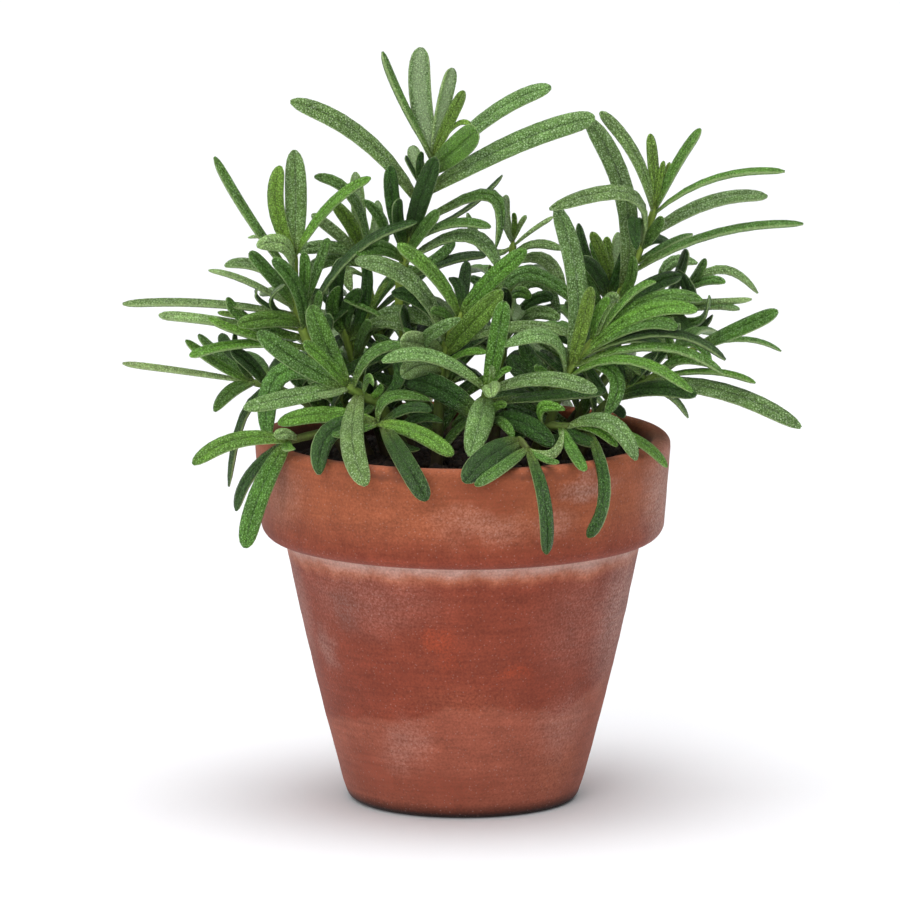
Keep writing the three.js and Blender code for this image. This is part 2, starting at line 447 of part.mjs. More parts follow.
      [[-3, 98], [-3.2, 102], [-2.6, 107, 38], 2.4, 160, "young"]
    ]
  },
  "back_low_right": {
    "stem": [[9, 70, 20], [14.5, 84, 29], [18.5, 93, 35]],
    "girth": [2.2, 1.5],
    "leaves": [
      [[18.4, 92.5], [16.5, 98.5], [14, 103, 46], 4.2, 160, "mid"],
      [[18.2, 92], [25, 96.5], [30.5, 94, 45], 4, 60, "mid"],
      [[18, 91.5], [18.5, 95], [20.5, 86.5, 50.5], 4.2, 60, "mid"],
      [[17.5, 90.5], [12, 95], [7.5, 93, 46], 3.8, 60, "dark"],
      [[16.5, 88], [24, 89.5], [31.5, 84.5, 42], 4.2, 60, "mid"],
      [[16, 87], [21, 87.5], [25.5, 79.5, 47], 4.2, 60, "sage"],
      [[15.5, 86], [12, 89.5], [9, 86, 43], 3.8, 60, "dark"],
      [[18.5, 93], [20, 97.5], [22, 101.5, 38], 2.4, 160, "young"]
    ]
  }
};

// ---- Points and solids --------------------------------------------------------------------------

const TOWARDS_EYE = new THREE.Vector3(0, -Math.cos(SIGHT_ANGLE), Math.sin(SIGHT_ANGLE));
const SIGHT_UP = new THREE.Vector3(0, Math.sin(SIGHT_ANGLE), Math.cos(SIGHT_ANGLE));

// How far up a point of the frame appears, and how far away it is, both along the line of sight.
function sighted(point) {
  return [point.dot(SIGHT_UP), -point.dot(TOWARDS_EYE)];
}

const [POINT_UP, POINT_DEPTH] = sighted(new THREE.Vector3(0, 0, SIGHT_POINT.height));

// What lies behind the point looked at appears smaller by this factor, and what lies before it larger.
function shrink(depth) {
  return 1 / (1 + (depth - POINT_DEPTH) / SIGHT_DISTANCE);
}

function place([across, up, back]) {
  const depth = (back - up * Math.sin(SIGHT_ANGLE)) / Math.cos(SIGHT_ANGLE);
  const trueAcross = SIGHT_POINT.across + (across - SIGHT_POINT.across) / shrink(depth);
  const trueUp = POINT_UP + (up - POINT_UP) / shrink(depth);
  const height = (trueUp - back * Math.sin(SIGHT_ANGLE)) / Math.cos(SIGHT_ANGLE);
  return new THREE.Vector3(trueAcross, back, height);
}

// Where a point of the frame appears, across and up.
function appears(point) {
  const [up, depth] = sighted(point);
  return [
    SIGHT_POINT.across + (point.x - SIGHT_POINT.across) * shrink(depth),
    POINT_UP + (up - POINT_UP) * shrink(depth),
  ];
}

// A closed three.js geometry as a manifold-3d solid.
function solidOf(geometry) {
  const bare = geometry.clone();
  bare.deleteAttribute("normal");
  bare.deleteAttribute("uv");
  const merged = mergeVertices(bare, 1e-4);
  return new wasm.Manifold(
    new wasm.Mesh({
      numProp: 3,
      vertProperties: Float32Array.from(merged.attributes.position.array),
      triVerts: Uint32Array.from(merged.index.array),
    }),
  );
}

// A manifold-3d solid as a three.js geometry.
function geometryOf(solid) {
  const mesh = solid.getMesh();
  const geometry = new THREE.BufferGeometry();
  geometry.setAttribute("position", new THREE.BufferAttribute(mesh.vertProperties, 3));
  geometry.setIndex(new THREE.BufferAttribute(mesh.triVerts, 1));
  return geometry;
}

function biggest(solids) {
  return solids.reduce((best, solid) => (solid.volume() > best.volume() ? solid : best));
}

// The part of a vector that is square to a direction, at length 1.
function square(vector, direction) {
  return vector.clone().addScaledVector(direction, -vector.dot(direction)).normalize();
}

// Carries a geometry whose length runs along Y along a curve. `wide` is the direction of its X, and
// `sizeAt(s)` gives the half-sizes across X and Z at the share s of the length.
function carry(geometry, curve, wide, sizeAt, overshoot = 0) {
  geometry.computeBoundingBox();
  const { min, max } = geometry.boundingBox;
  const position = geometry.attributes.position;
  const start = curve.getPoint(0);
  const end = curve.getPoint(1);
  const startWay = curve.getTangent(0);
  const endWay = curve.getTangent(1);
  for (let i = 0; i < position.count; i++) {
    const s = (position.getY(i) - min.y) / (max.y - min.y);
    const reach = Math.hypot(position.getX(i), position.getZ(i));
    const [halfWide, halfThick] = reach < 1e-6 ? [0, 0] : sizeAt(s).map((size) => size / reach);
    const along = curve.getTangent(s);
    const across = square(wide, along);
    const lift = new THREE.Vector3().crossVectors(across, along);
    const point = curve
      .getPoint(s)
      .addScaledVector(across, position.getX(i) * halfWide)
      .addScaledVector(lift, position.getZ(i) * halfThick);
    if (s < 1e-6 && reach < 1e-6) point.copy(start).addScaledVector(startWay, -overshoot);
    if (s > 1 - 1e-6 && reach < 1e-6) point.copy(end).addScaledVector(endWay, overshoot);
    position.setXYZ(i, point.x, point.y, point.z);
  }
  return solidOf(geometry);
}

// ---- Pot and soil -------------------------------------------------------------------------------

// Half the wall's section, from the drainage hole round the outside and back down the inside.
function potOutline(swell) {
  const { height, rimRadius, rimFoot, rimDepth, bodyTop, bodyFoot, mouth, floorRadius } = POT;
  const rimUnder = height - rimDepth;
  const path = new THREE.Path();
  path.moveTo(POT.hole - swell, 0 - swell);
  path.lineTo(bodyFoot - 1.4 + swell, 0 - swell);
  path.quadraticCurveTo(bodyFoot - 0.2 + swell, 0 - swell, bodyFoot + 0.4 + swell, 2.2);
  for (const share of [0.25, 0.5, 0.75]) {
    const taper = bodyFoot + 0.4 + (bodyTop - bodyFoot - 0.4) * share;
    const bulge = POT.bulge * 4 * share * (1 - share);
    path.lineTo(taper + bulge + swell, 2.2 + (rimUnder - 2.2) * share);
  }
  path.lineTo(bodyTop + swell, rimUnder - swell);
  path.lineTo(rimFoot - 3 + swell, rimUnder + 0.3 - swell);
  path.quadraticCurveTo(rimFoot - 0.2 + swell, rimUnder + 0.8 - swell, rimFoot + swell, rimUnder + 3.4);
  path.lineTo(rimRadius + swell, height - 1.8);
  path.quadraticCurveTo(rimRadius + swell, height + swell, rimRadius - 1.8, height + swell);
  path.lineTo(mouth + 1, height + swell);
  path.quadraticCurveTo(mouth - swell, height + swell, mouth - swell, height - 1.4);
  path.lineTo(floorRadius - swell, POT.floor + swell);
  path.lineTo(POT.hole - swell, POT.floor + swell);
  path.closePath();
  return path.getPoints(3);
}

function potSolid(swell = 0) {
  return solidOf(lathe(potOutline(swell), POT.sides));
}

// A lathe turned so that its axis is +Z.
function lathe(points, sides) {
  return new THREE.LatheGeometry(points, sides).rotateX(Math.PI / 2);
}

function soilSolid() {
  const innerSlope = (POT.mouth - POT.floorRadius) / (POT.height - POT.floor);
  const bottom = POT.floor + GAP;
  const inside = (z) => POT.floorRadius + innerSlope * (z - POT.floor) - GAP * 1.3;
  const path = new THREE.Path();
  path.moveTo(0, bottom);
  path.lineTo(inside(bottom), bottom);
  path.lineTo(inside(SOIL.level - 1), SOIL.level - 1);
  path.quadraticCurveTo(inside(SOIL.level) * 0.9, SOIL.level, 0, SOIL.level + SOIL.dome);
  return solidOf(lathe(path.getPoints(3), SOIL.sides));
}

// ---- Stems and leaves ---------------------------------------------------------------------------

// Rows like those of the table for the leaves behind a stem.
function rearLeaves(name, shoot) {
  if (!REAR.stems.includes(name)) return [];
  const rows = [];
  for (let i = 1; i + 1 < shoot.stem.length; i++) {
    const [across, up, back] = [0, 1, 2].map((k) => (shoot.stem[i][k] + shoot.stem[i + 1][k]) / 2);
    if (up < REAR.lowest || up > REAR.highest) continue;
    for (const side of [-1, 1]) {
      const tip = [
        across + side * REAR.spread,
        up + REAR.rise,
        back + REAR.reach[rows.length % REAR.reach.length],
      ];
      const middle = [across + side * REAR.spread * 0.4, up + REAR.rise + 0.5, back + REAR.reach[0] / 2];
      const colour = REAR.colours[rows.length % REAR.colours.length];
      rows.push([[across, up], middle, tip, REAR.width, REAR.roll, colour]);
    }
  }
  return rows;
}

function stemCurve(shoot) {
  return new THREE.CatmullRomCurve3(shoot.stem.map(place));
}

function stemSolid(shoot, swell = 0) {
  const [low, high] = shoot.girth.map((girth) => girth / 2 + swell);
  const rod = new THREE.CylinderGeometry(1, 1, 1, STEM.sides, STEM.steps);
  const sizeAt = (s) => [low + (high - low) * s, low + (high - low) * s];
  return carry(rod, stemCurve(shoot), new THREE.Vector3(1, 0.2, 0), sizeAt, swell);
}

// The point of the stem, short of its very end, that appears nearest to a leaf's root.
function rootOn(curve, [across, up]) {
  const distance = (point) => Math.hypot(appears(point)[0] - across, appears(point)[1] - up);
  const points = curve.getPoints(60).slice(0, -2);
  return points.reduce((best, point) => (distance(point) < distance(best) ? point : best));
}

// The curve from root to tip, through the leaf's middle.
function leafCurve(curve, [root, middle, tip]) {
  const start = rootOn(curve, root);
  const end = place(tip);
  const back = middle.length > 2 ? middle[2] : (start.y + end.y) / 2;
  const through = place([middle[0], middle[1], back]);
  const handle = through.multiplyScalar(2).addScaledVector(start, -0.5).addScaledVector(end, -0.5);
  return new THREE.QuadraticBezierCurve3(start, handle, end);
}

// The direction across the blade, from the leaf's roll about its own length.
function bladeAcross(curve, roll) {
  const along = curve.getPoint(1).sub(curve.getPoint(0)).normalize();
  const facing = square(TOWARDS_EYE, along);
  const side = new THREE.Vector3().crossVectors(along, facing);
  if (side.dot(SIGHT_UP) < 0) side.negate();
  const turn = THREE.MathUtils.degToRad(roll);
  const normal = facing.multiplyScalar(Math.cos(turn)).addScaledVector(side, Math.sin(turn));
  return new THREE.Vector3().crossVectors(along, normal).normalize();
}

// Narrow at the root, nearly parallel-sided along the blade, blunt at the tip.
function breadth(s) {
  return (1 - 0.6 * (1 - s) ** 3) * Math.sqrt(1 - s ** 8);
}

function leafSolid(stem, leaf, swell = 0) {
  const [root, middle, tip, width, roll] = leaf;
  const curve = leafCurve(stem, [root, middle, tip]);
  const sizeAt = (s) => [
    (width / 2) * breadth(s) + swell,
    (LEAF.thickness / 2) * breadth(s) + swell,
  ];
  const blade = new THREE.SphereGeometry(1, LEAF.sides, LEAF.steps);
  return carry(blade, curve, bladeAcross(curve, roll), sizeAt, swell);
}

// ---- Fitting the pieces together ----------------------------------------------------------------

// Each entry is one stem or leaf: its node, its solid, and the same solid grown by the gap.
const placed = [];

function boxesMeet(a, b) {
  const boxA = a.boundingBox();
  const boxB = b.boundingBox();
  return [0, 1, 2].every((i) => boxA.min[i] < boxB.max[i] && boxB.min[i] < boxA.max[i]);
}

// What is left of a solid beside the pieces of other nodes.
function beside(solid, node) {
  return placed
    .filter((piece) => piece.node !== node)
    .reduce((rest, piece) => (boxesMeet(rest, piece.grown) ? rest.subtract(piece.grown) : rest), solid);
}

function addPiece(node, colour, solid, grown) {
  placed.push({ node, colour, solid, grown });
}

addPiece("pot", "terracotta", potSolid(), potSolid(GAP));

for (const [name, shoot] of Object.entries(SHOOTS)) {
  addPiece(`stem_${name}`, "bark", stemSolid(shoot), stemSolid(shoot, GAP));
}

const leaves = Object.entries(SHOOTS).flatMap(([name, shoot]) => {
  const stem = stemCurve(shoot);
  return [...shoot.leaves, ...rearLeaves(name, shoot)]
    .filter((leaf) => leaf[3] >= LEAF.narrowest)
    .map((leaf) => ({ name, stem, leaf, length: leafCurve(stem, leaf).getLength() }));
});
leaves.sort((a, b) => b.length - a.length);

const counts = {};
let ownNodes = 0;
for (const { name, stem, leaf } of leaves) {
  const whole = leafSolid(stem, leaf);
  const alone = ownNodes < OWN_NODES;
  const number = (counts[name] ?? 0) + 1;
  const node = alone ? `leaf_${name}_${number}` : `stem_${name}`;
  const pieces = beside(whole, node)
    .decompose()
    .filter((piece) => alone || touchesStem(piece, name));
  if (!pieces.length || biggest(pieces).volume() < LEAST_SHARE * whole.volume()) continue;
  addPiece(node, leaf[5], biggest(pieces), leafSolid(stem, leaf, GAP));
  if (alone) {
    counts[name] = number;
    ownNodes += 1;
  }
}

function touchesStem(solid, name) {
  const stem = placed.find((piece) => piece.node === `stem_${name}`);
  return solid.intersect(stem.solid).volume() > LEAST_OVERLAP;
}

// ---- The finished part --------------------------------------------------------------------------

const rosemary = new THREE.Group();

function addMesh(name, solid, colour, roughness) {
  const material = new THREE.MeshStandardMaterial({ color: COLOURS[colour], roughness, metalness: 0 });
  const mesh = new THREE.Mesh(geometryOf(solid), material);
  mesh.name = name;
  rosemary.add(mesh);
}

const nodes = [...new Set(placed.map((piece) => piece.node))];
for (const node of nodes) {
  const pieces = placed.filter((piece) => piece.node === node);
  const whole = pieces.slice(1).reduce((sum, piece) => sum.add(piece.solid), pieces[0].solid);
  const roughness = node === "pot" ? 0.85 : 0.6;
  addMesh(node, biggest(whole.decompose()), pieces[0].colour, roughness);
}

// The soil fills the pot and closes round the buried ends of the stems.
addMesh("soil", biggest(beside(soilSolid(), "soil").decompose()), "soil", 0.95);

export default rosemary;
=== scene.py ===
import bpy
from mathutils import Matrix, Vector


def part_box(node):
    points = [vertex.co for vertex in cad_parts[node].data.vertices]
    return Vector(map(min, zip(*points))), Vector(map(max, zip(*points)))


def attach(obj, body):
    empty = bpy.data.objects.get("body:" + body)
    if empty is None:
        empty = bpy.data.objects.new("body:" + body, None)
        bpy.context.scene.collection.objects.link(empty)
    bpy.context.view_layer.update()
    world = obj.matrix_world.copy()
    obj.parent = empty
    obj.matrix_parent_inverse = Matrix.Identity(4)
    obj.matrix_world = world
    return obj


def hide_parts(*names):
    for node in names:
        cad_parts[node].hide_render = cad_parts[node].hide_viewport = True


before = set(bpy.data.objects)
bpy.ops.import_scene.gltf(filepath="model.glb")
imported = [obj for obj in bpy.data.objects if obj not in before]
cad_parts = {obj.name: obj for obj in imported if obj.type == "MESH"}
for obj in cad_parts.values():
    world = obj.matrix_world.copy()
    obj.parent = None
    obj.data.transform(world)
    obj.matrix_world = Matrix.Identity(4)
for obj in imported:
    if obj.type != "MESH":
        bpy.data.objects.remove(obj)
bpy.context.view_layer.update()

import math

import bpy
import numpy as np
from bpy.props import FloatProperty, FloatVectorProperty, IntProperty, PointerProperty
from bpy.types import Operator, Panel, PropertyGroup
from mathutils import Euler, Vector

bl_info = {
    "name": "Potted rosemary",
    "version": (1, 0, 0),
    "blender": (4, 5, 0),
    "location": "View3D > Sidebar > Rosemary",
    "description": "Builds a rosemary plant in a terracotta pot around its packed solids",
    "category": "Add Mesh",
}

# Frame: metres, +Z up, origin at the centre of the pot's foot. The plant's front faces -Y.
#
# The plant's table below is in millimetres, the same as the solids were made from. Every stem and
# leaf is placed by how far across it is, how far up it appears to someone who looks at the front
# from SIGHT_ANGLE above level, and how far back it is.

MM = 0.001
SIGHT_ANGLE = math.radians(10)
SIGHT_DISTANCE = 1800
SIGHT_POINT = (-2.8, 0.0, 76.6)
ROOT_BODY = "root"
SEED = 11


def linear(code):
    """An sRGB hex colour as linear red, green and blue."""
    values = np.array([int(code[i : i + 2], 16) for i in (1, 3, 5)]) / 255
    return tuple(np.where(values <= 0.04045, values / 12.92, ((values + 0.055) / 1.055) ** 2.4))


# ---- The plant ---------------------------------------------------------------------------------
#
# stem:   points up the middle of the stem, each [across, up, back]
# girth:  diameter at the soil and at the top
# leaves: each [root], [middle], [tip], width, roll, colour. The root grows from the nearest point
#         of the stem. A middle without a third number lies half-way back between root and tip.
#         At roll 0 the upper face is turned to the front, at 90 it is turned up, at 180 to the back.
# colour: 'dark' darkens a leaf with painted shade, 'bright' lightens it with painted light.

SHOOTS = {
  "middle": {
    "stem": [[-3, 64, 2], [-9, 88, 3], [-13.5, 106, 3], [-12, 120, 2], [-6.5, 139, 0]],
    "girth": [2.9, 1.8],
    "leaves": [
      [[-6.3, 139], [-13.2, 151.5], [-17.5, 162, -4], 4, 80, "mid"],
      [[-6.8, 139], [-9.2, 152], [-9, 163, 3], 5, 180, "sage"],
      [[-6, 139.5], [-4.3, 150], [-2.2, 158.5, 3], 3.6, 150, "sage"],
      [[-5.8, 139.5], [-3, 147], [0.3, 153.5, -4], 3.2, 35, "young"],
      [[-10.3, 129], [-22, 143.5], [-37.5, 151.2, -8], 4.5, 32, "sage"],
      [[-7.2, 135.8], [6.5, 148.5], [19.2, 154.3, -3], 4.3, 38, "sage"],
      [[-8, 130.5], [11, 142], [28.7, 147.7, -10], 5.2, 25, "sage"],
      [[-6.5, 136], [-0.8, 141.5], [3, 145, -20], 6, 12, "bright"],
      [[-6, 139.5], [-2, 145.8], [1.7, 146.1, -5], 1.5, 60, "young"],
      [[-12, 120], [-9.2, 130], [-5.8, 139, -9], 4.4, 12, "dark"],
      [[-12.3, 118], [-15, 128], [-15.7, 137.3, -4], 3.4, 10, "dark"],
      [[-9, 132], [-9.4, 136], [-9, 140.3, -5], 1.9, 20, "dark"],
      [[-9, 132.5], [-11, 136.5], [-12.5, 139.3, -4], 1.4, 50, "dark"],
      [[-12, 119], [-14, 125], [-14, 130, -8], 2.8, 20, "dark"],
      [[-8.5, 133], [-10, 138], [-11.2, 141.5, 7], 3.2, 180, "sage"],
      [[-12, 117.5], [-9, 123], [-5.2, 127.3, -9], 3.3, 40, "mid"],
      [[-12, 119.5], [-3, 124.7], [6, 123.8, -9], 3.5, 66, "mid"],
      [[-12, 116], [0.5, 122.3], [8, 114.5, -8], 4.6, 52, "sage"],
      [[-12.5, 112], [-3, 116.8], [5, 117.8, 9], 3.5, 60, "dark"],
      [[-11.5, 123], [5.5, 131], [7.2, 119.5, -6], 3.5, 38, "mid"],
      [[-11, 122], [-0.5, 127], [8.6, 135.2, 7], 2.8, 86, "dark"],
      [[-13, 117], [-18, 119.5], [-23, 117.8, -7], 4.2, 30, "mid"],
      [[-12.8, 113], [-6, 117], [-2, 121, 8], 2.6, 30, "mid"]
    ]
  },
  "front_middle": {
    "stem": [[-6, 65, -8], [-5, 88, -7], [-4, 97, -7], [-0.3, 105.5, -8]],
    "girth": [2.5, 1.8],
    "leaves": [
      [[-0.5, 105], [6, 112.3], [13.8, 119, -12], 4.1, 18, "bright"],
      [[-4, 96.5], [1.5, 102.5], [8.6, 110, -16], 5.1, 12, "young"],
      [[-3.5, 99], [-11, 112], [-23.5, 116.5, -14], 4.7, 38, "sage"],
      [[-0.5, 104.5], [-6, 113.5], [-14.3, 120, -17], 3.9, 42, "bright"],
      [[-4, 96], [-9, 98.5], [-13.5, 99, -24], 5.2, 10, "light"],
      [[-4.5, 93], [-9, 94], [-13.3, 91.6, -24], 5, 5, "light"],
      [[-3.5, 98], [11, 102.3], [23.6, 100.5, -14], 3.9, 55, "sage"],
      [[-4.2, 96], [-8.5, 99], [-0.6, 104, -22], 3.2, 35, "sage"],
      [[-4.6, 93], [0, 96.5], [5.2, 96.6, -14], 2.4, 55, "bright"],
      [[-1.5, 103], [-4.5, 105.5], [-7, 105.4, -14], 2.2, 20, "mid"],
      [[-3, 100], [-8, 107.5], [-15.5, 109.5, -10], 4.4, 20, "dark"],
      [[-1, 104], [0, 110], [0.8, 116.5, 2], 2.8, 10, "dark"],
      [[-0.6, 105], [-0.5, 110.5], [-3, 112.8, -2], 3, 20, "dark"],
      [[-0.5, 105], [2, 109], [3.2, 112.4, -3], 1.4, 30, "dark"]
    ]
  },
  "front_centre": {
    "stem": [[2, 65, -14], [4, 78, -18], [5.2, 88.5, -21]],
    "girth": [2.5, 2],
    "leaves": [
      [[4.8, 88.5], [-6.5, 95.8], [-17.6, 94.6, -27], 4.2, 48, "sage"],
      [[4.8, 87], [3.8, 82], [1.5, 74, -38], 6, 5, "sage"],
      [[5.3, 88], [7.3, 98.5], [9, 107.8, -26], 4.1, 10, "mid"],
      [[5.2, 88.5], [6, 89.3], [6.4, 87, -34], 4.2, 10, "light"],
      [[5.3, 88], [17.5, 91], [29.2, 88, -29], 4.3, 46, "sage"],
      [[5.3, 88.3], [6.2, 91.5], [6.2, 93.8, -23], 1.7, 20, "light"],
      [[5.4, 88], [8, 92], [10.6, 93, -24], 1.7, 40, "bright"],
      [[5, 86], [19, 87.3], [31, 88.2, -20], 3.6, 55, "dark"],
      [[3.6, 82], [-5, 88.8], [-13.2, 90.5, -13], 5.6, 8, "dark"],
      [[4.4, 81], [6.5, 84.5], [9.5, 85.2, -28], 2.2, 40, "bright"],
      [[4.4, 80], [7.6, 82], [11, 78.2, -31], 2.4, 35, "mid"],
      [[4.4, 82], [12.5, 81.5], [19.6, 76.2, -31], 4.6, 15, "dark"]
    ]
  },
  "back_middle": {
    "stem": [[6, 68, 11], [8.5, 95, 18], [11, 121, 22]],
    "girth": [2.4, 1.5],
    "leaves": [
      [[10.8, 120.5], [9.3, 126], [9.5, 130.9, 21], 2.2, 175, "light"],
      [[11, 121], [11.2, 124.5], [11.1, 127, 19], 1.3, 20, "young"],
      [[11, 121], [12.2, 124], [13.8, 126.4, 19], 1.4, 30, "light"],
      [[10.9, 120], [15, 123.2], [19.6, 126.1, 18], 1.8, 70, "light"],
      [[10.7, 118], [15.5, 120.3], [21.5, 119, 15], 3, 60, "sage"],
      [[10.5, 116], [17.5, 117], [22, 110, 16], 3.8, 42, "sage"],
      [[10.8, 119.5], [5, 119], [1, 127, 26], 2.6, 30, "sage"],
      [[9.5, 106], [11.5, 109.6], [14.8, 108.6, 10], 2.7, 35, "bright"],
      [[9.2, 101], [15, 107.8], [19.6, 108.3, 12], 3, 30, "dark"],
      [[8.8, 99], [14.5, 105], [21, 103.8, 8], 3.6, 48, "sage"],
      [[9.8, 108], [17, 112], [21, 104, 20], 3.2, 30, "sage"],
      [[9.6, 106], [6.8, 111], [5.8, 115.7, 15], 1.8, 30, "young"],
      [[9.2, 101], [12, 106.5], [11, 103.5, 6], 4.6, 10, "sage"],
      [[9.8, 109], [15, 113.5], [18.5, 113.2, 30], 3.2, 60, "light"]
    ]
  },
  "centre_right": {
    "stem": [[14, 66, -8], [18.5, 80, -13], [22.5, 91.5, -15], [29, 100, -14]],
    "girth": [2.5, 1.6],
    "leaves": [
      [[23, 93], [24.9, 111], [20.2, 128.4, -13], 4.6, 10, "sage"],
      [[22.3, 91], [19.3, 99.8], [8.8, 98, -24], 4.4, 50, "sage"],
      [[23.3, 93], [25.7, 101.5], [27.9, 110.9, -21], 3.3, 10, "young"],
      [[22, 90.5], [35.5, 95.2], [50, 88, -27], 3.4, 60, "bright"],
      [[23.5, 93.5], [42, 98], [56.5, 92.2, -22], 3.7, 70, "mid"],
      [[25, 95.8], [43.5, 101], [57.1, 95, -18], 3.7, 66, "dark"],
      [[25.5, 96], [38, 102.8], [46.6, 101.8, -19], 3.7, 45, "mid"],
      [[25, 95], [38.5, 105], [51, 105.7, -17], 3.9, 38, "bright"],
      [[28.5, 99.5], [40.5, 108], [52, 108, -13], 3.9, 45, "mid"],
      [[28.5, 100], [36, 109], [42, 112, -13], 3, 62, "bright"],
      [[28, 99.5], [31.3, 107.3], [33.8, 107.6, -18], 3.2, 30, "sage"],
      [[27.5, 99], [29.3, 105], [32, 108.4, -19], 2.4, 30, "bright"],
      [[24.5, 95], [33.2, 91.5], [31, 83, -24], 3.6, 20, "mid"],
      [[20.5, 86], [13.5, 92], [10, 96, -12], 4.6, 15, "dark"],
      [[21, 88], [15.5, 94], [13, 99, -10], 3.6, 20, "dark"],
      [[19.5, 83], [13, 87.5], [6, 86.4, -14], 3.2, 50, "dark"],
      [[21.5, 89], [17.5, 92.5], [15.6, 93, -20], 2, 30, "bright"],
      [[25, 95.5], [36, 100], [44, 97.5, -6], 3.4, 50, "dark"]
    ]
  },
  "right": {
    "stem": [[20, 65, 6], [26.5, 85, 4], [29.5, 95, 4], [33.5, 107, 4], [38, 118, 3], [42, 128.5, 2]],
    "girth": [2.8, 1.6],
    "leaves": [
      [[35, 110], [35.4, 130], [26.9, 147.5, -7], 4.7, 14, "sage"],
      [[41.3, 127], [37.6, 139.2], [29.8, 148.9, -3], 3.4, 42, "sage"],
      [[41.7, 128], [41.5, 136], [40.7, 144.2, 2], 2.7, 20, "young"],
      [[42, 128.3], [42.8, 134], [43.7, 138.3, 1], 1.4, 20, "young"],
      [[42, 128.3], [43.5, 133.5], [45, 138, 3], 1.4, 20, "young"],
      [[42, 128], [46.2, 137.2], [51.7, 145.3, 0], 3.3, 55, "bright"],
      [[41.5, 126.5], [54.3, 134.4], [70, 136, -4], 3.5, 80, "bright"],
      [[39.5, 121], [53, 129.2], [66.2, 130.6, 8], 4.1, 48, "sage"],
      [[36.5, 114], [54, 122.4], [74, 124.6, -4], 3.7, 72, "mid"],
      [[39, 120], [36.5, 131, -12], [18.8, 127.8, -14], 4, 45, "sage"],
      [[37.5, 116], [44.5, 120.3], [49.9, 122.4, 9], 3, 70, "mid"],
      [[39, 119], [41.2, 122.5], [43.5, 126, -6], 2.9, 20, "mid"],
      [[34, 107], [36.4, 112.5], [37, 117.6, -4], 2.6, 20, "mid"],
      [[40, 122], [37.5, 125.5], [37.8, 119, -8], 3.4, 20, "dark"],
      [[33.5, 107], [41, 111.3], [47.5, 113.4, 8], 4, 30, "dark"],
      [[38.5, 119], [42, 121.5], [46, 119.5, 12], 3, 40, "dark"]
    ]
  },
  "right_inner": {
    "stem": [[13, 68, 8], [22, 92, 13], [30.5, 107, 14], [32.5, 113, 14]],
    "girth": [2.2, 1.5],
    "leaves": [
      [[31, 108.5], [27.3, 116], [25.1, 124.7, 10], 2.7, 25, "dark"],
      [[32.3, 111.5], [30.7, 117], [27.9, 122.8, 9], 2.7, 12, "young"],
      [[32.4, 112.5], [31.5, 117.5], [31.3, 121.8, 12], 2.6, 20, "young"],
      [[32.5, 113], [33.2, 118], [33.7, 122.8, 14], 3, 150, "light"],
      [[31.2, 108.5], [29.7, 113.3], [25.8, 117.3, 5], 3.4, 18, "dark"],
      [[30.3, 106], [28.3, 110], [26, 114.8, 8], 2.6, 30, "mid"],
      [[32, 111], [29, 117], [28, 120.8, 12], 1.6, 30, "bright"],
      [[31, 108.5], [34, 113.8], [35.5, 119.2, 9], 3.2, 15, "dark"],
      [[29, 104], [16, 113.5], [9.3, 109.8, 8], 4.2, 35, "mid"]
    ]
  },
  "right_low": {
    "stem": [[21, 65, -3], [29, 82, -4], [34, 87.3, -3], [41, 91, 0], [51, 98, 2]],
    "girth": [2.7, 1.5],
    "leaves": [
      [[37, 89.3], [55, 88.6], [73.5, 80.3, -8], 4.5, 34, "sage"],
      [[33, 86], [41.5, 88.9], [50.7, 87.2, -12], 4.2, 40, "dark"],
      [[35, 88], [43.5, 88.2], [49, 82.4, -4], 2.8, 66, "sage"],
      [[41, 91], [53.5, 92.6], [63.6, 90, -6], 3, 76, "bright"],
      [[50.5, 97.6], [60, 101.8], [68.5, 105.6, -6], 4.1, 38, "mid"],
      [[50.5, 97.8], [61, 99.6], [69.2, 96.9, 3], 2.5, 74, "mid"],
      [[41.5, 91.5], [47.5, 95.3], [54.6, 93.7, -3], 3.4, 52, "mid"],
      [[46, 94.5], [49.5, 99], [54, 95, -6], 2.8, 50, "mid"],
      [[45, 94], [45, 102.5], [47.2, 101.5, -5], 2.8, 40, "mid"],
      [[34.5, 87.6], [38.5, 92], [42.3, 96.8, 2], 2, 60, "dark"],
      [[36, 88.5], [41, 93.5], [45, 98, 8], 2.4, 60, "dark"],
      [[30.5, 84], [33, 84.6], [35, 82.5, -16], 2.6, 40, "dark"]
    ]
  },
  "back_right": {
    "stem": [[15, 70, 18], [31, 91, 25], [42, 103, 28], [48.5, 110.5, 28]],
    "girth": [2.4, 1.5],
    "leaves": [
      [[46, 107.5], [49.3, 109], [46.7, 114.5, 20], 3.4, 10, "dark"],
      [[46, 107.5], [55, 107.7], [62.8, 108.2, 24], 3, 74, "light"],
      [[44, 105], [54, 106.7], [60, 105.9, 22], 3, 74, "sage"],
      [[44, 105], [51, 103.4], [53.5, 109, 16], 2.6, 45, "mid"],
      [[47.5, 109.5], [52.5, 112.2], [57, 111.8, 22], 3, 58, "mid"],
      [[48.3, 110.5], [56.5, 114.8], [64.1, 109.5, 28], 3.4, 62, "sage"],
      [[48.5, 110.5], [50.9, 113.5], [52.8, 117, 24], 2.6, 40, "mid"],
      [[43, 104], [46.4, 112], [48.7, 119, 18], 2.9, 40, "dark"],
      [[43.5, 104.5], [44, 115], [51, 116, 24], 3.4, 50, "sage"],
      [[43, 104], [49.5, 101.5], [54.3, 104.8, 24], 2.6, 40, "dark"],
      [[45, 106.5], [48.6, 102], [48.2, 100.5, 14], 3.2, 10, "dark"],
      [[40, 101], [36, 104.5], [33, 99.5, 22], 3.4, 30, "dark"],
      [[38, 98.5], [45, 101], [52, 99.2, 34], 3.2, 40, "dark"]
    ]
  },
  "left": {
    "stem": [[-16, 65, 3], [-27.5, 88, 0], [-33.3, 98, -1], [-36.3, 108, -1], [-36.8, 118.5, -1]],
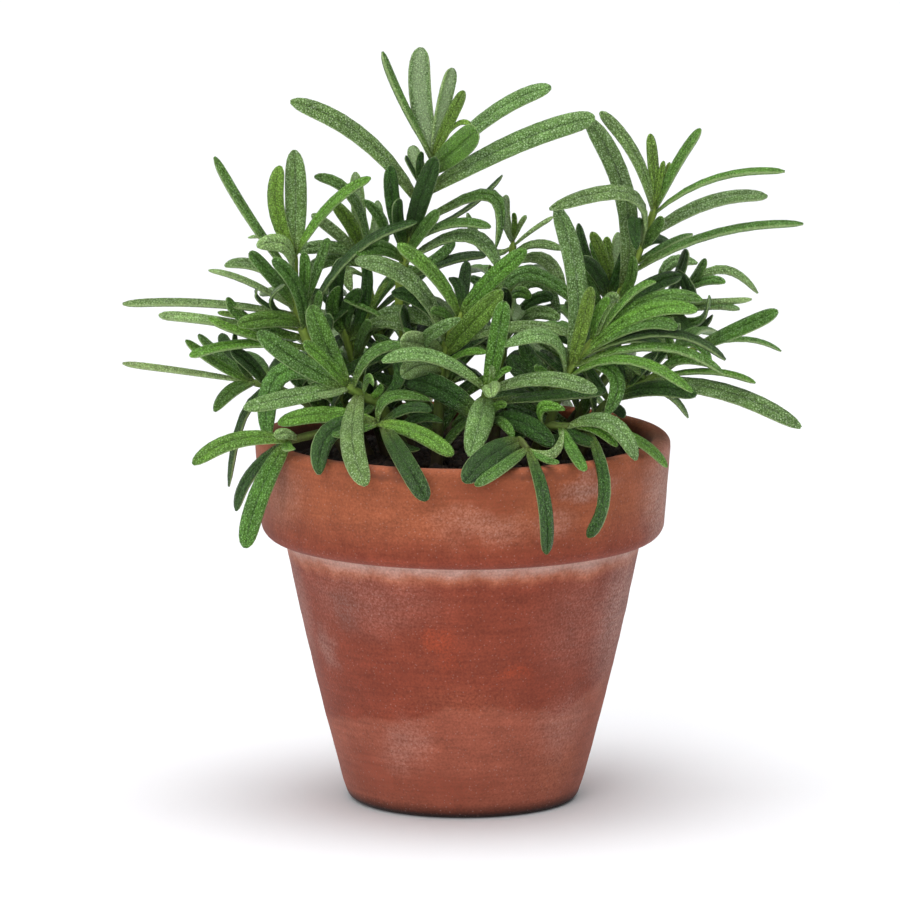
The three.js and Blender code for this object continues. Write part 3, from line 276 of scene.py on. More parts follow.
    "girth": [2.8, 1.7],
    "leaves": [
      [[-36.8, 118], [-36.3, 129], [-36.7, 140.7, 1], 4.9, 5, "sage"],
      [[-37, 118], [-40.6, 128], [-39.6, 137.2, -4], 3.8, -15, "young"],
      [[-36.6, 112.5], [-46.3, 126], [-54, 139.2, -3], 3.1, 55, "mid"],
      [[-36.6, 117.5], [-29, 128.6], [-20, 134.6, -4], 3.2, 50, "bright"],
      [[-36.6, 114], [-38.8, 120], [-44.8, 119.7, -9], 4.2, 35, "light"],
      [[-36.5, 110.5], [-45, 115.6], [-51.8, 115.4, -4], 3.4, 52, "sage"],
      [[-36, 106], [-46.5, 112], [-55.3, 114.5, 2], 3, 74, "light"],
      [[-36, 106.5], [-41.8, 113.5], [-46.4, 118.4, -7], 3.4, 34, "mid"],
      [[-34, 101], [-36, 110.5], [-41.4, 116.9, -12], 3.4, 24, "mid"],
      [[-35.8, 104.5], [-55.5, 107.4], [-74, 107.2, -4], 3.5, 72, "sage"],
      [[-34, 100], [-52.5, 103.4], [-66.1, 104.8, 4], 3.4, 60, "light"],
      [[-33, 97], [-45.5, 100.4], [-55.4, 104, -7], 3, 56, "bright"],
      [[-33.4, 97.6], [-48, 98.6], [-59.4, 95.8, -8], 3.2, 58, "bright"],
      [[-34.5, 101.5], [-46, 104], [-53.3, 105.4, 2], 2, 60, "young"],
      [[-34, 100], [-45.8, 103], [-51.2, 108.6, -4], 3, 30, "mid"],
      [[-34.5, 102.9], [-41, 104], [-48.9, 102.7, -13], 4, 24, "bright"],
      [[-37, 118], [-42, 121.4], [-46.7, 121.6, 3], 1.7, 70, "light"],
      [[-35.5, 104], [-43.5, 107.5], [-44.6, 110.4, -7], 1.8, 60, "dark"],
      [[-34.8, 102], [-41.5, 107], [-38.6, 111.4, -9], 2, 60, "dark"],
      [[-35.6, 104.5], [-31.8, 114.5], [-29.3, 121.5, 3], 2.6, 30, "mid"],
      [[-36, 106], [-34.4, 112.5], [-34.6, 118.5, -5], 2.8, 15, "mid"],
      [[-34.6, 102], [-24.4, 118], [-10, 125, -8], 3.7, 68, "dark"],
      [[-33.8, 99], [-32, 105.5], [-31, 110, -7], 2.2, 30, "mid"]
    ]
  },
  "back_left": {
    "stem": [[-9, 68, 12], [-15.5, 90, 15], [-19.5, 106, 16], [-22, 119, 16]],
    "girth": [2.4, 1.6],
    "leaves": [
      [[-21.8, 118.5], [-22.6, 127], [-23.4, 135.9, 17], 3.3, 175, "light"],
      [[-20.8, 114], [-17, 122.5], [-21.6, 129.7, 8], 3, 40, "mid"],
      [[-21.6, 117], [-27.5, 122.7], [-32.9, 126.6, 14], 3.5, 50, "sage"],
      [[-20, 110], [-22.8, 128.4], [-32.3, 134.8, 8], 3, 50, "mid"],
      [[-21.6, 117], [-28.5, 119.6], [-36, 118.6, 9], 3.5, 40, "sage"],
      [[-21.3, 115.5], [-28.8, 116.8], [-34.2, 113.6, 10], 3.5, 35, "sage"],
      [[-22, 118.8], [-24.4, 124.5], [-28.4, 129.4, 12], 3.3, 15, "young"],
      [[-21.5, 117], [-19, 123], [-18.6, 129.7, 20], 2.8, 165, "sage"],
      [[-20.5, 113], [-25, 114.5], [-24.3, 110, 6], 3, 20, "light"],
      [[-19.5, 106], [-16, 112], [-10.5, 115, 8], 3.4, 40, "mid"],
      [[-21.8, 118.5], [-24.3, 124], [-25.9, 127.8, 18], 3, 160, "light"]
    ]
  },
  "left_inner": {
    "stem": [[-15, 68, 8], [-19.5, 84, 7], [-23.5, 94, 6], [-26, 102.5, 5]],
    "girth": [2.4, 1.6],
    "leaves": [
      [[-25.8, 101.5], [-27.6, 110], [-26, 117.3, 2], 3.4, 10, "dark"],
      [[-25.6, 100.5], [-28.4, 105.6], [-26.9, 111, -2], 3.1, 10, "mid"],
      [[-25.6, 100], [-25.2, 106], [-22, 110.3, 0], 3.3, 15, "dark"],
      [[-25, 99], [-21.4, 107.5], [-21, 116.7, 4], 2.8, 12, "dark"],
      [[-24.5, 96.5], [-20.5, 105.5], [-16.3, 112.2, 4], 1.5, 40, "young"],
      [[-24, 95], [-20, 102.8], [-12, 101.6, -3], 3.6, 52, "sage"],
      [[-23.5, 93.5], [-17.5, 104.5], [-5.8, 102.5, -3], 4.2, 40, "sage"],
      [[-25.9, 102], [-31, 109.5], [-32.8, 107, 2], 2, 40, "dark"],
      [[-23, 92], [-20, 97], [-15.8, 99.5, 9], 2.4, 40, "mid"]
    ]
  },
  "left_low": {
    "stem": [[-20, 65, -6], [-30, 82, 0], [-38.5, 88, 4], [-46, 90.3, 4]],
    "girth": [2.5, 1.5],
    "leaves": [
      [[-45.8, 90.2], [-53.2, 94.2], [-60.3, 99.3, 0], 2.8, 42, "bright"],
      [[-45.5, 90.4], [-52.3, 95.6], [-57.5, 100.6, 6], 2.8, 50, "mid"],
      [[-45.6, 90], [-59.2, 92.4], [-74, 94.3, 2], 2.8, 75, "light"],
      [[-45.6, 90], [-50.2, 88.4], [-54, 83.8, -2], 3.8, 35, "mid"],
      [[-45.6, 90.2], [-50.3, 96.2], [-52.4, 100.8, 10], 3, 20, "dark"],
      [[-45, 90.2], [-48.7, 95], [-49.5, 101.2, 2], 1.8, 30, "dark"],
      [[-42.5, 89.4], [-46.3, 94.2], [-50.4, 97.2, -4], 3.3, 18, "dark"],
      [[-34, 85.5], [-45.5, 86.5], [-50.9, 67.5, 4], 3.1, 55, "dark"],
      [[-31, 83.5], [-34, 89], [-38, 91.5, -2], 3.6, 30, "dark"]
    ]
  },
  "left_front": {
    "stem": [[-12, 66, -12], [-17, 83.5, -18], [-21.5, 87, -20], [-25.3, 89.3, -21]],
    "girth": [2.5, 1.8],
    "leaves": [
      [[-25, 89], [-29.8, 98.2], [-33, 106.9, -25], 5, 12, "mid"],
      [[-25.2, 89.2], [-29.4, 94.4], [-34.6, 98.9, -29], 3, 20, "bright"],
      [[-25, 89.2], [-35, 94.2], [-44.6, 101.2, -21], 4.6, 18, "mid"],
      [[-25, 88.8], [-36, 87.2], [-47.7, 84.5, -25], 4.3, 30, "sage"],
      [[-24.8, 89], [-28, 87.8], [-31.4, 87.3, -30], 1.8, 30, "light"],
      [[-22.5, 87.5], [-24.1, 77.6, -37], [-21, 67.7, -47], 5.3, 4, "sage"],
      [[-24.8, 89.2], [-39.4, 92.2, -15], [-42.4, 77.7, -20], 5, 22, "mid"],
      [[-24, 88.6], [-20, 96.3], [-12.4, 98.2, -22], 3.3, 48, "mid"],
      [[-22, 87.2], [-20.6, 91], [-19.4, 89.3, -26], 2.2, 30, "mid"],
      [[-20.5, 86.5], [-18, 88.5], [-17.8, 89.8, -24], 1.9, 20, "bright"],
      [[-25.2, 89.3], [-30, 91.3], [-33.6, 90, -16], 2.6, 40, "mid"],
      [[-19, 85.5], [-14, 90.5], [-15, 96, -12], 3, 30, "dark"]
    ]
  },
  "front_left": {
    "stem": [[-9, 67, -19], [-14, 78.5, -25], [-18.6, 81.4, -28]],
    "girth": [2.2, 1.6],
    "leaves": [
      [[-18.4, 81], [-29.8, 83.2], [-40.2, 81.2, -25], 4, 28, "bright"],
      [[-18.4, 81.4], [-10, 79.2], [-2.2, 74.2, -41], 3.9, 30, "bright"],
      [[-18.4, 81], [-28.6, 79.6, -32], [-31.3, 70.1, -39], 4.5, 5, "dark"],
      [[-17.5, 80.6], [-12.8, 73.2, -43], [-7.8, 64.4, -49.5], 4.4, 5, "dark"],
      [[-18.6, 81.4], [-16, 87], [-7.2, 86.3, -26], 3.3, 48, "mid"],
      [[-17.8, 81], [-12, 84.6], [-6.8, 83.9, -30], 2.9, 40, "dark"],
      [[-15, 79], [-9.5, 82.4], [-4.3, 81.5, -24], 2.6, 40, "dark"],
      [[-18.5, 81], [-23.5, 79.6], [-28.4, 78.6, -35], 2.2, 40, "mid"],
      [[-16, 79.8], [-13.6, 76.5, -32], [-9.4, 75.6, -36], 2.6, 30, "dark"]
    ]
  },
  "far_left": {
    "stem": [[-20, 66, -15], [-24, 75.5, -20], [-28, 79.3, -23], [-38.3, 77.4, -26]],
    "girth": [2.4, 1.6],
    "leaves": [
      [[-38, 77.2], [-49.2, 77.6], [-58.7, 72.3, -32], 4.1, 30, "bright"],
      [[-38, 77.3], [-44, 66.4], [-47.3, 54.1, -31], 4.7, 8, "mid"],
      [[-38, 77.4], [-46, 70.4], [-49.3, 62.2, -23], 3.2, 42, "dark"],
      [[-36, 77.8], [-38.6, 79], [-40.8, 78.3, -32], 2.8, 30, "light"],
      [[-37.8, 77.4], [-38.2, 76], [-36.6, 75.6, -33], 2.6, 20, "bright"]
    ]
  },
  "front_right": {
    "stem": [[7, 67, -20], [11.5, 77, -29], [14, 75.6, -36]],
    "girth": [2.1, 1.6],
    "leaves": [
      [[12.5, 77.4], [6, 74.2, -42.5], [0.2, 68.4, -49], 5.6, 8, "dark"],
      [[13.8, 75.8], [8.8, 71.9, -45], [2.6, 67.7, -49.5], 3.2, 40, "mid"],
      [[14, 75.6], [17.6, 65, -50], [18.2, 52.8, -48], 3.2, 20, "dark"],
      [[13.9, 75.6], [17.4, 73.6], [20.9, 72.7, -42], 1.8, 40, "mid"],
      [[13.9, 75.6], [19.4, 74.6], [21.6, 79.6, -36], 2.8, 40, "light"],
      [[9, 72.5], [11.5, 78.5], [17, 79.5, -24], 3.2, 30, "dark"]
    ]
  },
  "front_right_low": {
    "stem": [[13, 67, -16], [17.5, 79.3, -24], [22.5, 80.5, -27], [31, 80, -24]],
    "girth": [2.1, 1.5],
    "leaves": [
      [[21.2, 80], [23.7, 75.6, -36], [26.6, 70.9, -42.5], 2.9, 25, "mid"],
      [[22.5, 80.5], [31.8, 81.4], [37.7, 73.2, -33], 4.3, 28, "sage"],
      [[30.5, 80], [38.6, 77.2], [44.4, 71.7, -23.5], 2.9, 42, "bright"],
      [[27, 80.3], [30.8, 67, -42], [27.1, 56.5, -44.5], 3, 25, "dark"],
      [[18, 79.4], [17, 84.6], [22.2, 84.2, -29], 2.9, 35, "bright"],
      [[21, 80], [24.6, 78.4], [29.6, 76.4, -31], 3.2, 30, "dark"],
      [[24, 80.5], [29, 80], [33.6, 76.2, -30], 2.8, 40, "bright"],
      [[16.5, 77], [20.5, 77.5], [25, 75.8, -22], 3.2, 30, "dark"]
    ]
  },
  "back_low_left": {
    "stem": [[-12, 70, 20], [-18, 84, 29], [-23, 94, 35]],
    "girth": [2.2, 1.5],
    "leaves": [
      [[-22.8, 93.5], [-27, 99.5], [-29.5, 104.5, 45], 4.2, 160, "mid"],
      [[-22.5, 93], [-30, 97], [-37, 95, 43], 4, 60, "mid"],
      [[-22.8, 93.5], [-20.5, 96], [-18, 90.5, 50.5], 4.2, 60, "mid"],
      [[-21.5, 91], [-16, 96], [-11.5, 95, 45], 3.8, 60, "dark"],
      [[-20, 88], [-28, 90], [-34.5, 84.5, 41], 4.2, 60, "mid"],
      [[-19.5, 87], [-21, 89], [-26, 81.5, 50], 4.2, 60, "sage"],
      [[-19, 86], [-14, 89], [-10.5, 86, 42], 3.8, 60, "dark"],
      [[-23, 94], [-25, 99], [-24, 104, 38], 2.4, 160, "young"]
    ]
  },
  "back": {
    "stem": [[-2, 72, 22], [-3.5, 88, 30], [-3, 98, 34]],
    "girth": [2.2, 1.5],
    "leaves": [
      [[-3, 97.5], [-6, 103], [-9, 108, 44], 4.2, 160, "mid"],
      [[-3, 97.5], [1, 102.5], [4.5, 106, 45], 4, 160, "sage"],
      [[-3.2, 95], [-9, 99], [-14.5, 97.5, 43], 3.8, 60, "mid"],
      [[-3.2, 95], [3, 98.5], [9.5, 95.5, 44], 3.8, 60, "mid"],
      [[-3.2, 94], [-1.5, 97], [0.5, 90.5, 50.5], 4.2, 60, "mid"],
      [[-3.4, 91], [-6, 92.5], [-7.5, 84.5, 49], 4.2, 60, "sage"],
      [[-3.4, 90], [2.5, 92], [6, 86.5, 45], 3.8, 60, "dark"],
      [[-3, 98], [-3.2, 102], [-2.6, 107, 38], 2.4, 160, "young"]
    ]
  },
  "back_low_right": {
    "stem": [[9, 70, 20], [14.5, 84, 29], [18.5, 93, 35]],
    "girth": [2.2, 1.5],
    "leaves": [
      [[18.4, 92.5], [16.5, 98.5], [14, 103, 46], 4.2, 160, "mid"],
      [[18.2, 92], [25, 96.5], [30.5, 94, 45], 4, 60, "mid"],
      [[18, 91.5], [18.5, 95], [20.5, 86.5, 50.5], 4.2, 60, "mid"],
      [[17.5, 90.5], [12, 95], [7.5, 93, 46], 3.8, 60, "dark"],
      [[16.5, 88], [24, 89.5], [31.5, 84.5, 42], 4.2, 60, "mid"],
      [[16, 87], [21, 87.5], [25.5, 79.5, 47], 4.2, 60, "sage"],
      [[15.5, 86], [12, 89.5], [9, 86, 43], 3.8, 60, "dark"],
      [[18.5, 93], [20, 97.5], [22, 101.5, 38], 2.4, 160, "young"]
    ]
  }
}

# Leaves that point away from the front, a pair for each stretch of these stems above the lowest.
REAR = {
    "stems": (
        "middle", "front_middle", "back_middle", "centre_right", "right", "right_inner",
        "right_low", "left", "back_left", "left_inner", "left_low",
    ),
    "lowest": 86,
    "highest": 112,
    "spread": 9,
    "rise": 6,
    "reach": (21, 24),
    "width": 4.2,
    "roll": 62,
    "colours": ("mid", "dark", "sage"),
}

# Small leaves inside the plant, made by rule. Lengths are in millimetres, angles in degrees.
INNER = {
    "ends_clear": (4, 3),  # stretches of stem left bare at its foot and at its top
    "rise": (22, 52),
    "length": (11, 18),
    "arch": (0.05, 0.22),  # how far the middle handle is lifted, as a share of the length
    "width": (2.4, 3.5),
    "roll": (30, 80),
    # painted shade: the inner leaves mostly take the darkened leaf colour
    "colours": ("dark", "dark", "mid"),
    "oval": ((-1, 96), (40, 20)),  # where the tips appear: middle and half-sizes, across and up
    "widest": 38,  # how far the tips may be from the pot's axis
    "lowest_root": 76,
    "lowest_tip": 80,
    "front_root": -9,
    "front_tip": -12,
}

# ---- Surfaces ----------------------------------------------------------------------------------


def mesh_object(name, points, faces, smooth=True):
    """An object at the origin from an array of points in millimetres and an array of faces."""
    mesh = bpy.data.meshes.new(name)
    points = np.asarray(points, dtype=np.float32).reshape(-1, 3) * MM
    faces = np.asarray(faces, dtype=np.int32)
    corners = faces.shape[1]
    mesh.vertices.add(len(points))
    mesh.vertices.foreach_set("co", points.ravel())
    mesh.loops.add(faces.size)
    mesh.loops.foreach_set("vertex_index", faces.ravel())
    mesh.polygons.add(len(faces))
    mesh.polygons.foreach_set("loop_start", np.arange(len(faces), dtype=np.int32) * corners)
    mesh.polygons.foreach_set("use_smooth", np.full(len(faces), smooth))
    mesh.update(calc_edges=True)
    mesh.validate()
    made = bpy.data.objects.new(name, mesh)
    bpy.context.scene.collection.objects.link(made)
    return made


def add_attribute(piece, name, kind, values):
    """A value for each vertex: FLOAT takes one number, FLOAT_COLOR takes four."""
    attribute = piece.data.attributes.new(name, kind, "POINT")
    slot = "color" if kind == "FLOAT_COLOR" else "value"
    attribute.data.foreach_set(slot, np.asarray(values, dtype=np.float32).ravel())


def tube_faces(rings, sides):
    """Quads between consecutive rings of points, wound so that they face away from the middle."""
    ring = np.arange(rings - 1)[:, None] * sides
    side = np.arange(sides)[None, :]
    after = (side + 1) % sides
    quads = np.stack([ring + side, ring + after, ring + sides + after, ring + sides + side], axis=-1)
    return quads.reshape(-1, 4)


def end_caps(rings, sides):
    """Quads that close the first and the last ring, each a strip across its ring."""
    strip = np.array([[k, k + 1, sides - 2 - k, sides - 1 - k] for k in range(sides // 2 - 1)])
    return strip[:, ::-1], strip + (rings - 1) * sides


def unit(vectors):
    return vectors / np.maximum(np.linalg.norm(vectors, axis=-1, keepdims=True), 1e-9)


def square(vectors, directions):
    """The part of each vector that is square to its direction, at length 1."""
    return unit(vectors - np.sum(vectors * directions, axis=-1, keepdims=True) * directions)


SIN, COS = math.sin(SIGHT_ANGLE), math.cos(SIGHT_ANGLE)
SIGHT_UP = SIGHT_POINT[2] * COS


def shrink(depth):
    """The factor by which what lies deeper than the point looked at appears smaller."""
    return 1 / (1 + (depth + SIGHT_POINT[2] * SIN) / SIGHT_DISTANCE)


def place(spots):
    """Points of the frame, in millimetres, from how far across and up they appear, and how far back
    they are: the offsets from the point looked at, divided by the shrinking at that depth."""
    across, up, back = np.moveaxis(np.asarray(spots, dtype=float), -1, 0)
    scale = shrink((back - up * SIN) / COS)
    true_across = SIGHT_POINT[0] + (across - SIGHT_POINT[0]) / scale
    true_up = SIGHT_UP + (up - SIGHT_UP) / scale
    return np.stack([true_across, back, (true_up - back * SIN) / COS], axis=-1)


def appears(points):
    """How far across and up points of the frame appear, in millimetres: the inverse of `place`."""
    across, back, height = np.moveaxis(points, -1, 0)
    up = height * COS + back * SIN
    scale = shrink(back * COS - height * SIN)
    return np.stack(
        [SIGHT_POINT[0] + (across - SIGHT_POINT[0]) * scale, SIGHT_UP + (up - SIGHT_UP) * scale],
        axis=-1,
    )


def smooth_path(points, steps):
    """A smooth curve through the points: on each stretch a cubic whose slopes at its ends run
    parallel to the chords of the neighbouring points."""
    points = np.asarray(points, dtype=float)
    padded = np.vstack([2 * points[0] - points[1], points, 2 * points[-1] - points[-2]])
    share = np.linspace(0, 1, steps) * (len(points) - 1)
    index = np.minimum(share.astype(int), len(points) - 2)
    t = (share - index)[:, None]
    p0, p1, p2, p3 = (padded[index + k] for k in range(4))
    return 0.5 * (
        2 * p1
        + (p2 - p0) * t
        + (2 * p0 - 5 * p1 + 4 * p2 - p3) * t**2
        + (3 * p1 - p0 - 3 * p2 + p3) * t**3
    )


def lumps(points, size, seed, octaves=3):
    """Smooth noise of about -1 to 1 at each point: sums of sine waves in scattered directions, each
    octave half as long and half as strong."""
    rng = np.random.default_rng(seed)
    total = np.zeros(points.shape[:-1])
    for octave in range(octaves):
        ways = unit(rng.normal(size=(6, 3))) * (2 * math.pi / size * 2**octave)
        phases = rng.uniform(0, 2 * math.pi, 6)
        total += np.sin(points @ ways.T + phases).sum(axis=-1) / (6**0.5 * 2**octave)
    return total


# ---- Materials ---------------------------------------------------------------------------------


def add(tree, kind, inputs=None, stops=None, **settings):
    """Adds a node, sets it up and links or sets its inputs. Stops are a colour ramp's."""
    made = tree.nodes.new(kind)
    for name, value in settings.items():
        setattr(made, name, value)
    for name, value in (inputs or {}).items():
        if isinstance(value, bpy.types.NodeSocket):
            tree.links.new(value, made.inputs[name])
        else:
            made.inputs[name].default_value = value
    if stops:
        points = made.color_ramp.elements
        while len(points) < len(stops):
            points.new(0.5)
        for point, (position, colour) in zip(points, stops):
            point.position = position
            point.color = (*colour, 1)
    return made


def new_material(name):
    material = bpy.data.materials.new(name)
    material.use_nodes = True
    material.node_tree.nodes.clear()
    return material, material.node_tree


def spot_of(tree):
    return add(tree, "ShaderNodeTexCoord").outputs["Object"]


def painted(tree, name, output="Fac"):
    """What the mesh holds at each vertex under this name."""
    return add(tree, "ShaderNodeAttribute", attribute_name=name).outputs[output]


def noise(tree, spot, size, detail=2.0, roughness=0.5, output="Fac"):
    """Cloudy noise whose patches are about as big as the size, in metres."""
    inputs = {"Vector": spot, "Scale": 1 / size, "Detail": detail, "Roughness": roughness}
    return add(tree, "ShaderNodeTexNoise", inputs).outputs[output]


def cells(tree, spot, size, feature, randomness=1.0):
    """The distance inside a cell of scattered cells of this size, in metres."""
    inputs = {"Vector": spot, "Scale": 1 / size, "Randomness": randomness}
    return add(tree, "ShaderNodeTexVoronoi", inputs, feature=feature).outputs["Distance"]


def spread(tree, value, low, high, low_gives=0.0, high_gives=1.0, kind="LINEAR"):
    """Maps the range from low to high onto low_gives to high_gives, and holds it beyond."""
    inputs = {
        "Value": value, "From Min": low, "From Max": high, "To Min": low_gives, "To Max": high_gives,
    }
    return add(tree, "ShaderNodeMapRange", inputs, interpolation_type=kind).outputs["Result"]


def times(tree, first, second):
    return add(tree, "ShaderNodeMath", {0: first, 1: second}, operation="MULTIPLY").outputs[0]


def times_plus(tree, value, factor, rest):
    """The value times the factor, plus the rest."""
    inputs = {0: value, 1: factor, 2: rest}
    return add(tree, "ShaderNodeMath", inputs, operation="MULTIPLY_ADD").outputs[0]


def scaled(tree, vector, factor):
    """The vector or colour times one number."""
    inputs = {0: vector, "Scale": factor}
    return add(tree, "ShaderNodeVectorMath", inputs, operation="SCALE").outputs["Vector"]


def combined(tree, first, second, operation, output="Vector"):
    """Two vectors put together by the operation."""
    inputs = {0: first, 1: second}
    return add(tree, "ShaderNodeVectorMath", inputs, operation=operation).outputs[output]


def mixed(tree, share, first, second):
    """The first colour, with a share of the second over it. Either is a socket or a setting."""
    first, second = (
        colour if isinstance(colour, bpy.types.NodeSocket) else (*colour, 1)
        for colour in (first, second)
    )
    return add(tree, "ShaderNodeMix", {0: share, 6: first, 7: second}, data_type="RGBA").outputs[2]


def ramp(tree, value, stops):
    return add(tree, "ShaderNodeValToRGB", {"Fac": value}, stops=stops).outputs["Color"]


def bumps(tree, height, strength, depth):
    inputs = {"Height": height, "Strength": strength, "Distance": depth}
    return add(tree, "ShaderNodeBump", inputs).outputs["Normal"]


def finish_material(tree, inputs):
    shader = add(tree, "ShaderNodeBsdfPrincipled", inputs)
    add(tree, "ShaderNodeOutputMaterial", {"Surface": shader.outputs["BSDF"]})


def leaf_material(foliage):
    """Living rosemary leaf: a leathery blade, waxy and pebbled above between sunken veins, felted
    pale below, whose rolled margins carry a fringe of pale hairs."""
    material, tree = new_material("rosemary_leaf")
    spot = spot_of(tree)
    tint = painted(tree, "tint", "Color")
    under = painted(tree, "under")

    # pebbles half a millimetre across: crowns with creases between them, roughened by noise
    edges = cells(tree, spot, foliage.pebble, "DISTANCE_TO_EDGE", 0.9)
    crown = spread(tree, edges, 0.0, 0.28, kind="SMOOTHSTEP")
    pebbles = times_plus(tree, crown, 0.32, noise(tree, spot, foliage.pebble, 2.0, 0.6))

    # upper face: the tint with painted shade in the creases and the groove and painted light on the
    #     crowns, and the pale waxy colour with painted glints on the highest crowns
    relief = spread(tree, pebbles, 0.42, 0.94, 0.46, 1.3)
    patchy = spread(tree, noise(tree, spot, 4 * MM, 3.0), 0.3, 0.7, 0.8, 1.2)
    groove_shade = times_plus(tree, painted(tree, "groove"), -0.34, 1.0)
    upper = scaled(tree, tint, times(tree, times(tree, relief, patchy), groove_shade))
    # painted highlight: the highest crowns turn towards the pale waxy colour, which also stands in
    # for glints
    waxy = times(tree, spread(tree, pebbles, 0.62, 0.96), painted(tree, "wax_and_glint"))
    upper = mixed(tree, waxy, upper, foliage.wax_and_glint)

    # underside: felt that softens the pebbles, with milder painted shade in their creases
    felt = mixed(tree, 0.6, tint, foliage.underside)
    felt = scaled(tree, felt, spread(tree, pebbles, 0.42, 0.94, 0.74, 1.18))
    colour = mixed(tree, under, upper, felt)

    # margins
    hairs = times(tree, painted(tree, "margin"), foliage.fringe_strength)
    colour = mixed(tree, hairs, colour, foliage.fringe)

    finish_material(
        tree,
        {
            "Base Color": colour,
            "Roughness": spread(tree, under, 0.0, 1.0, 0.33, 0.8),
            "IOR": 1.45,
            "Specular IOR Level": 0.6,
            "Subsurface Weight": 0.1,
            "Subsurface Radius": (0.6, 1.0, 0.3),
            "Subsurface Scale": 0.5 * MM,
            "Normal": bumps(tree, pebbles, 1.0, 0.8 * MM),
        },
    )
    return material


def stem_material(foliage):
    """Young rosemary stem: ribbed, downy and yellow-green, turning brown and barky towards the
    soil."""
    material, tree = new_material("rosemary_stem")
    fibres = noise(tree, spot_of(tree), 0.6 * MM, 4.0)
    ageing = times_plus(tree, fibres, 0.5, painted(tree, "age"))
    stops = [(0.25, foliage.stem), (0.62, foliage.stem_mid), (1.0, foliage.bark)]
    # painted shade and light: the colour is darker in the furrows between the ribs and lighter on the
    # ribs
    ribbed = spread(tree, painted(tree, "rib"), 0.0, 1.0, 0.72, 1.15)
    finish_material(
        tree,
        {
            "Base Color": scaled(tree, ramp(tree, ageing, stops), ribbed),
            "Roughness": 0.7,
            "IOR": 1.45,
            "Normal": bumps(tree, fibres, 0.6, 0.25 * MM),
        },
    )
    return material


# Marks on the clay: colour, angle round from the front in degrees, height and half-sizes across and
# up in millimetres, strength.
MARKS = (
    ("dry", -8, 68, 24, 7.0, 0.3),
    ("red", 7, 74.5, 11, 4.5, 0.45),
    ("red", 6, 61.5, 26, 4.0, 0.6),
    ("red", -30, 31.5, 9, 5.0, 0.5),
    ("red", 30, 33.0, 10, 7.0, 0.35),
    ("red", -48, 9.0, 10, 7.0, 0.6),
    ("red", -6, 7.0, 16, 5.0, 0.5),
    ("dry", 48, 9.5, 9, 7.0, 0.5),
    ("dry", 2, 27.0, 12, 4.0, 0.25),
    ("bloom", 37, 74.5, 9, 3.4, 0.42),
    ("bloom", 26, 67.0, 6, 4.0, 0.2),
    ("bloom", 5, 68.5, 11, 4.5, 0.2),
    # partly painted sheen: this bloom on the right edge of the rim also stands for light grazing the
    # clay
    ("bloom", 79, 69.0, 17, 14.0, 0.6),
    ("bloom", -64, 71.0, 12, 9.0, 0.22),
    ("dirt", -20, 78.3, 12, 1.5, 0.6),
    ("dirt", 20, 78.8, 10, 1.4, 0.6),
    ("dirt", -80, 60.0, 9, 4.0, 0.35),
    ("dirt", -43, 46.5, 5, 6.0, 0.45),
    ("bloom", -36, 49.0, 20, 9.0, 0.17),
    ("bloom", -58, 37.0, 5, 6.0, 0.32),
    # partly painted sheen: the bloom on the left and right edges of the body, here and two rows down,
    # also stands for light grazing the clay
    ("bloom", -80, 45.0, 9, 18.0, 0.3),
    ("bloom", 48, 44.0, 16, 15.0, 0.13),
    ("bloom", 73, 45.0, 13, 20.0, 0.5),
    ("ochre", -10, 41.5, 3.4, 2.6, 0.45),
    ("ochre", -5, 37.0, 3, 5.0, 0.25),
    ("ochre", 19, 33.0, 3.4, 2.2, 0.4),
    ("bloom", -26, 17.0, 7, 7.0, 0.22),
    ("bloom", 46, 20.0, 9, 8.0, 0.2),
    ("dirt", 150, 40.0, 14, 12.0, 0.4),
    ("bloom", 170, 66.0, 14, 6.0, 0.35),
    ("bloom", 205, 30.0, 9, 12.0, 0.3),
    ("red", 120, 30.0, 10, 8.0, 0.4),
)
# How far the marks are from the pot's axis, in millimetres: on the rim, at the foot, and how fast
# that grows with the height on the body.
RIM_REACH = 44.5
FOOT_REACH = 25
BODY_SLOPE = 0.25
BODY_HEIGHT = 58

# The tide line above which the clay is moist: how far across and how high, in millimetres.
TIDE = ((-34, 17), (-25, 21), (-10, 22.7), (-3, 25.6), (9, 25.2), (21, 23), (30, 28), (34, 29))
TIDE_HALF = 34
TIDE_HIGHEST = 40


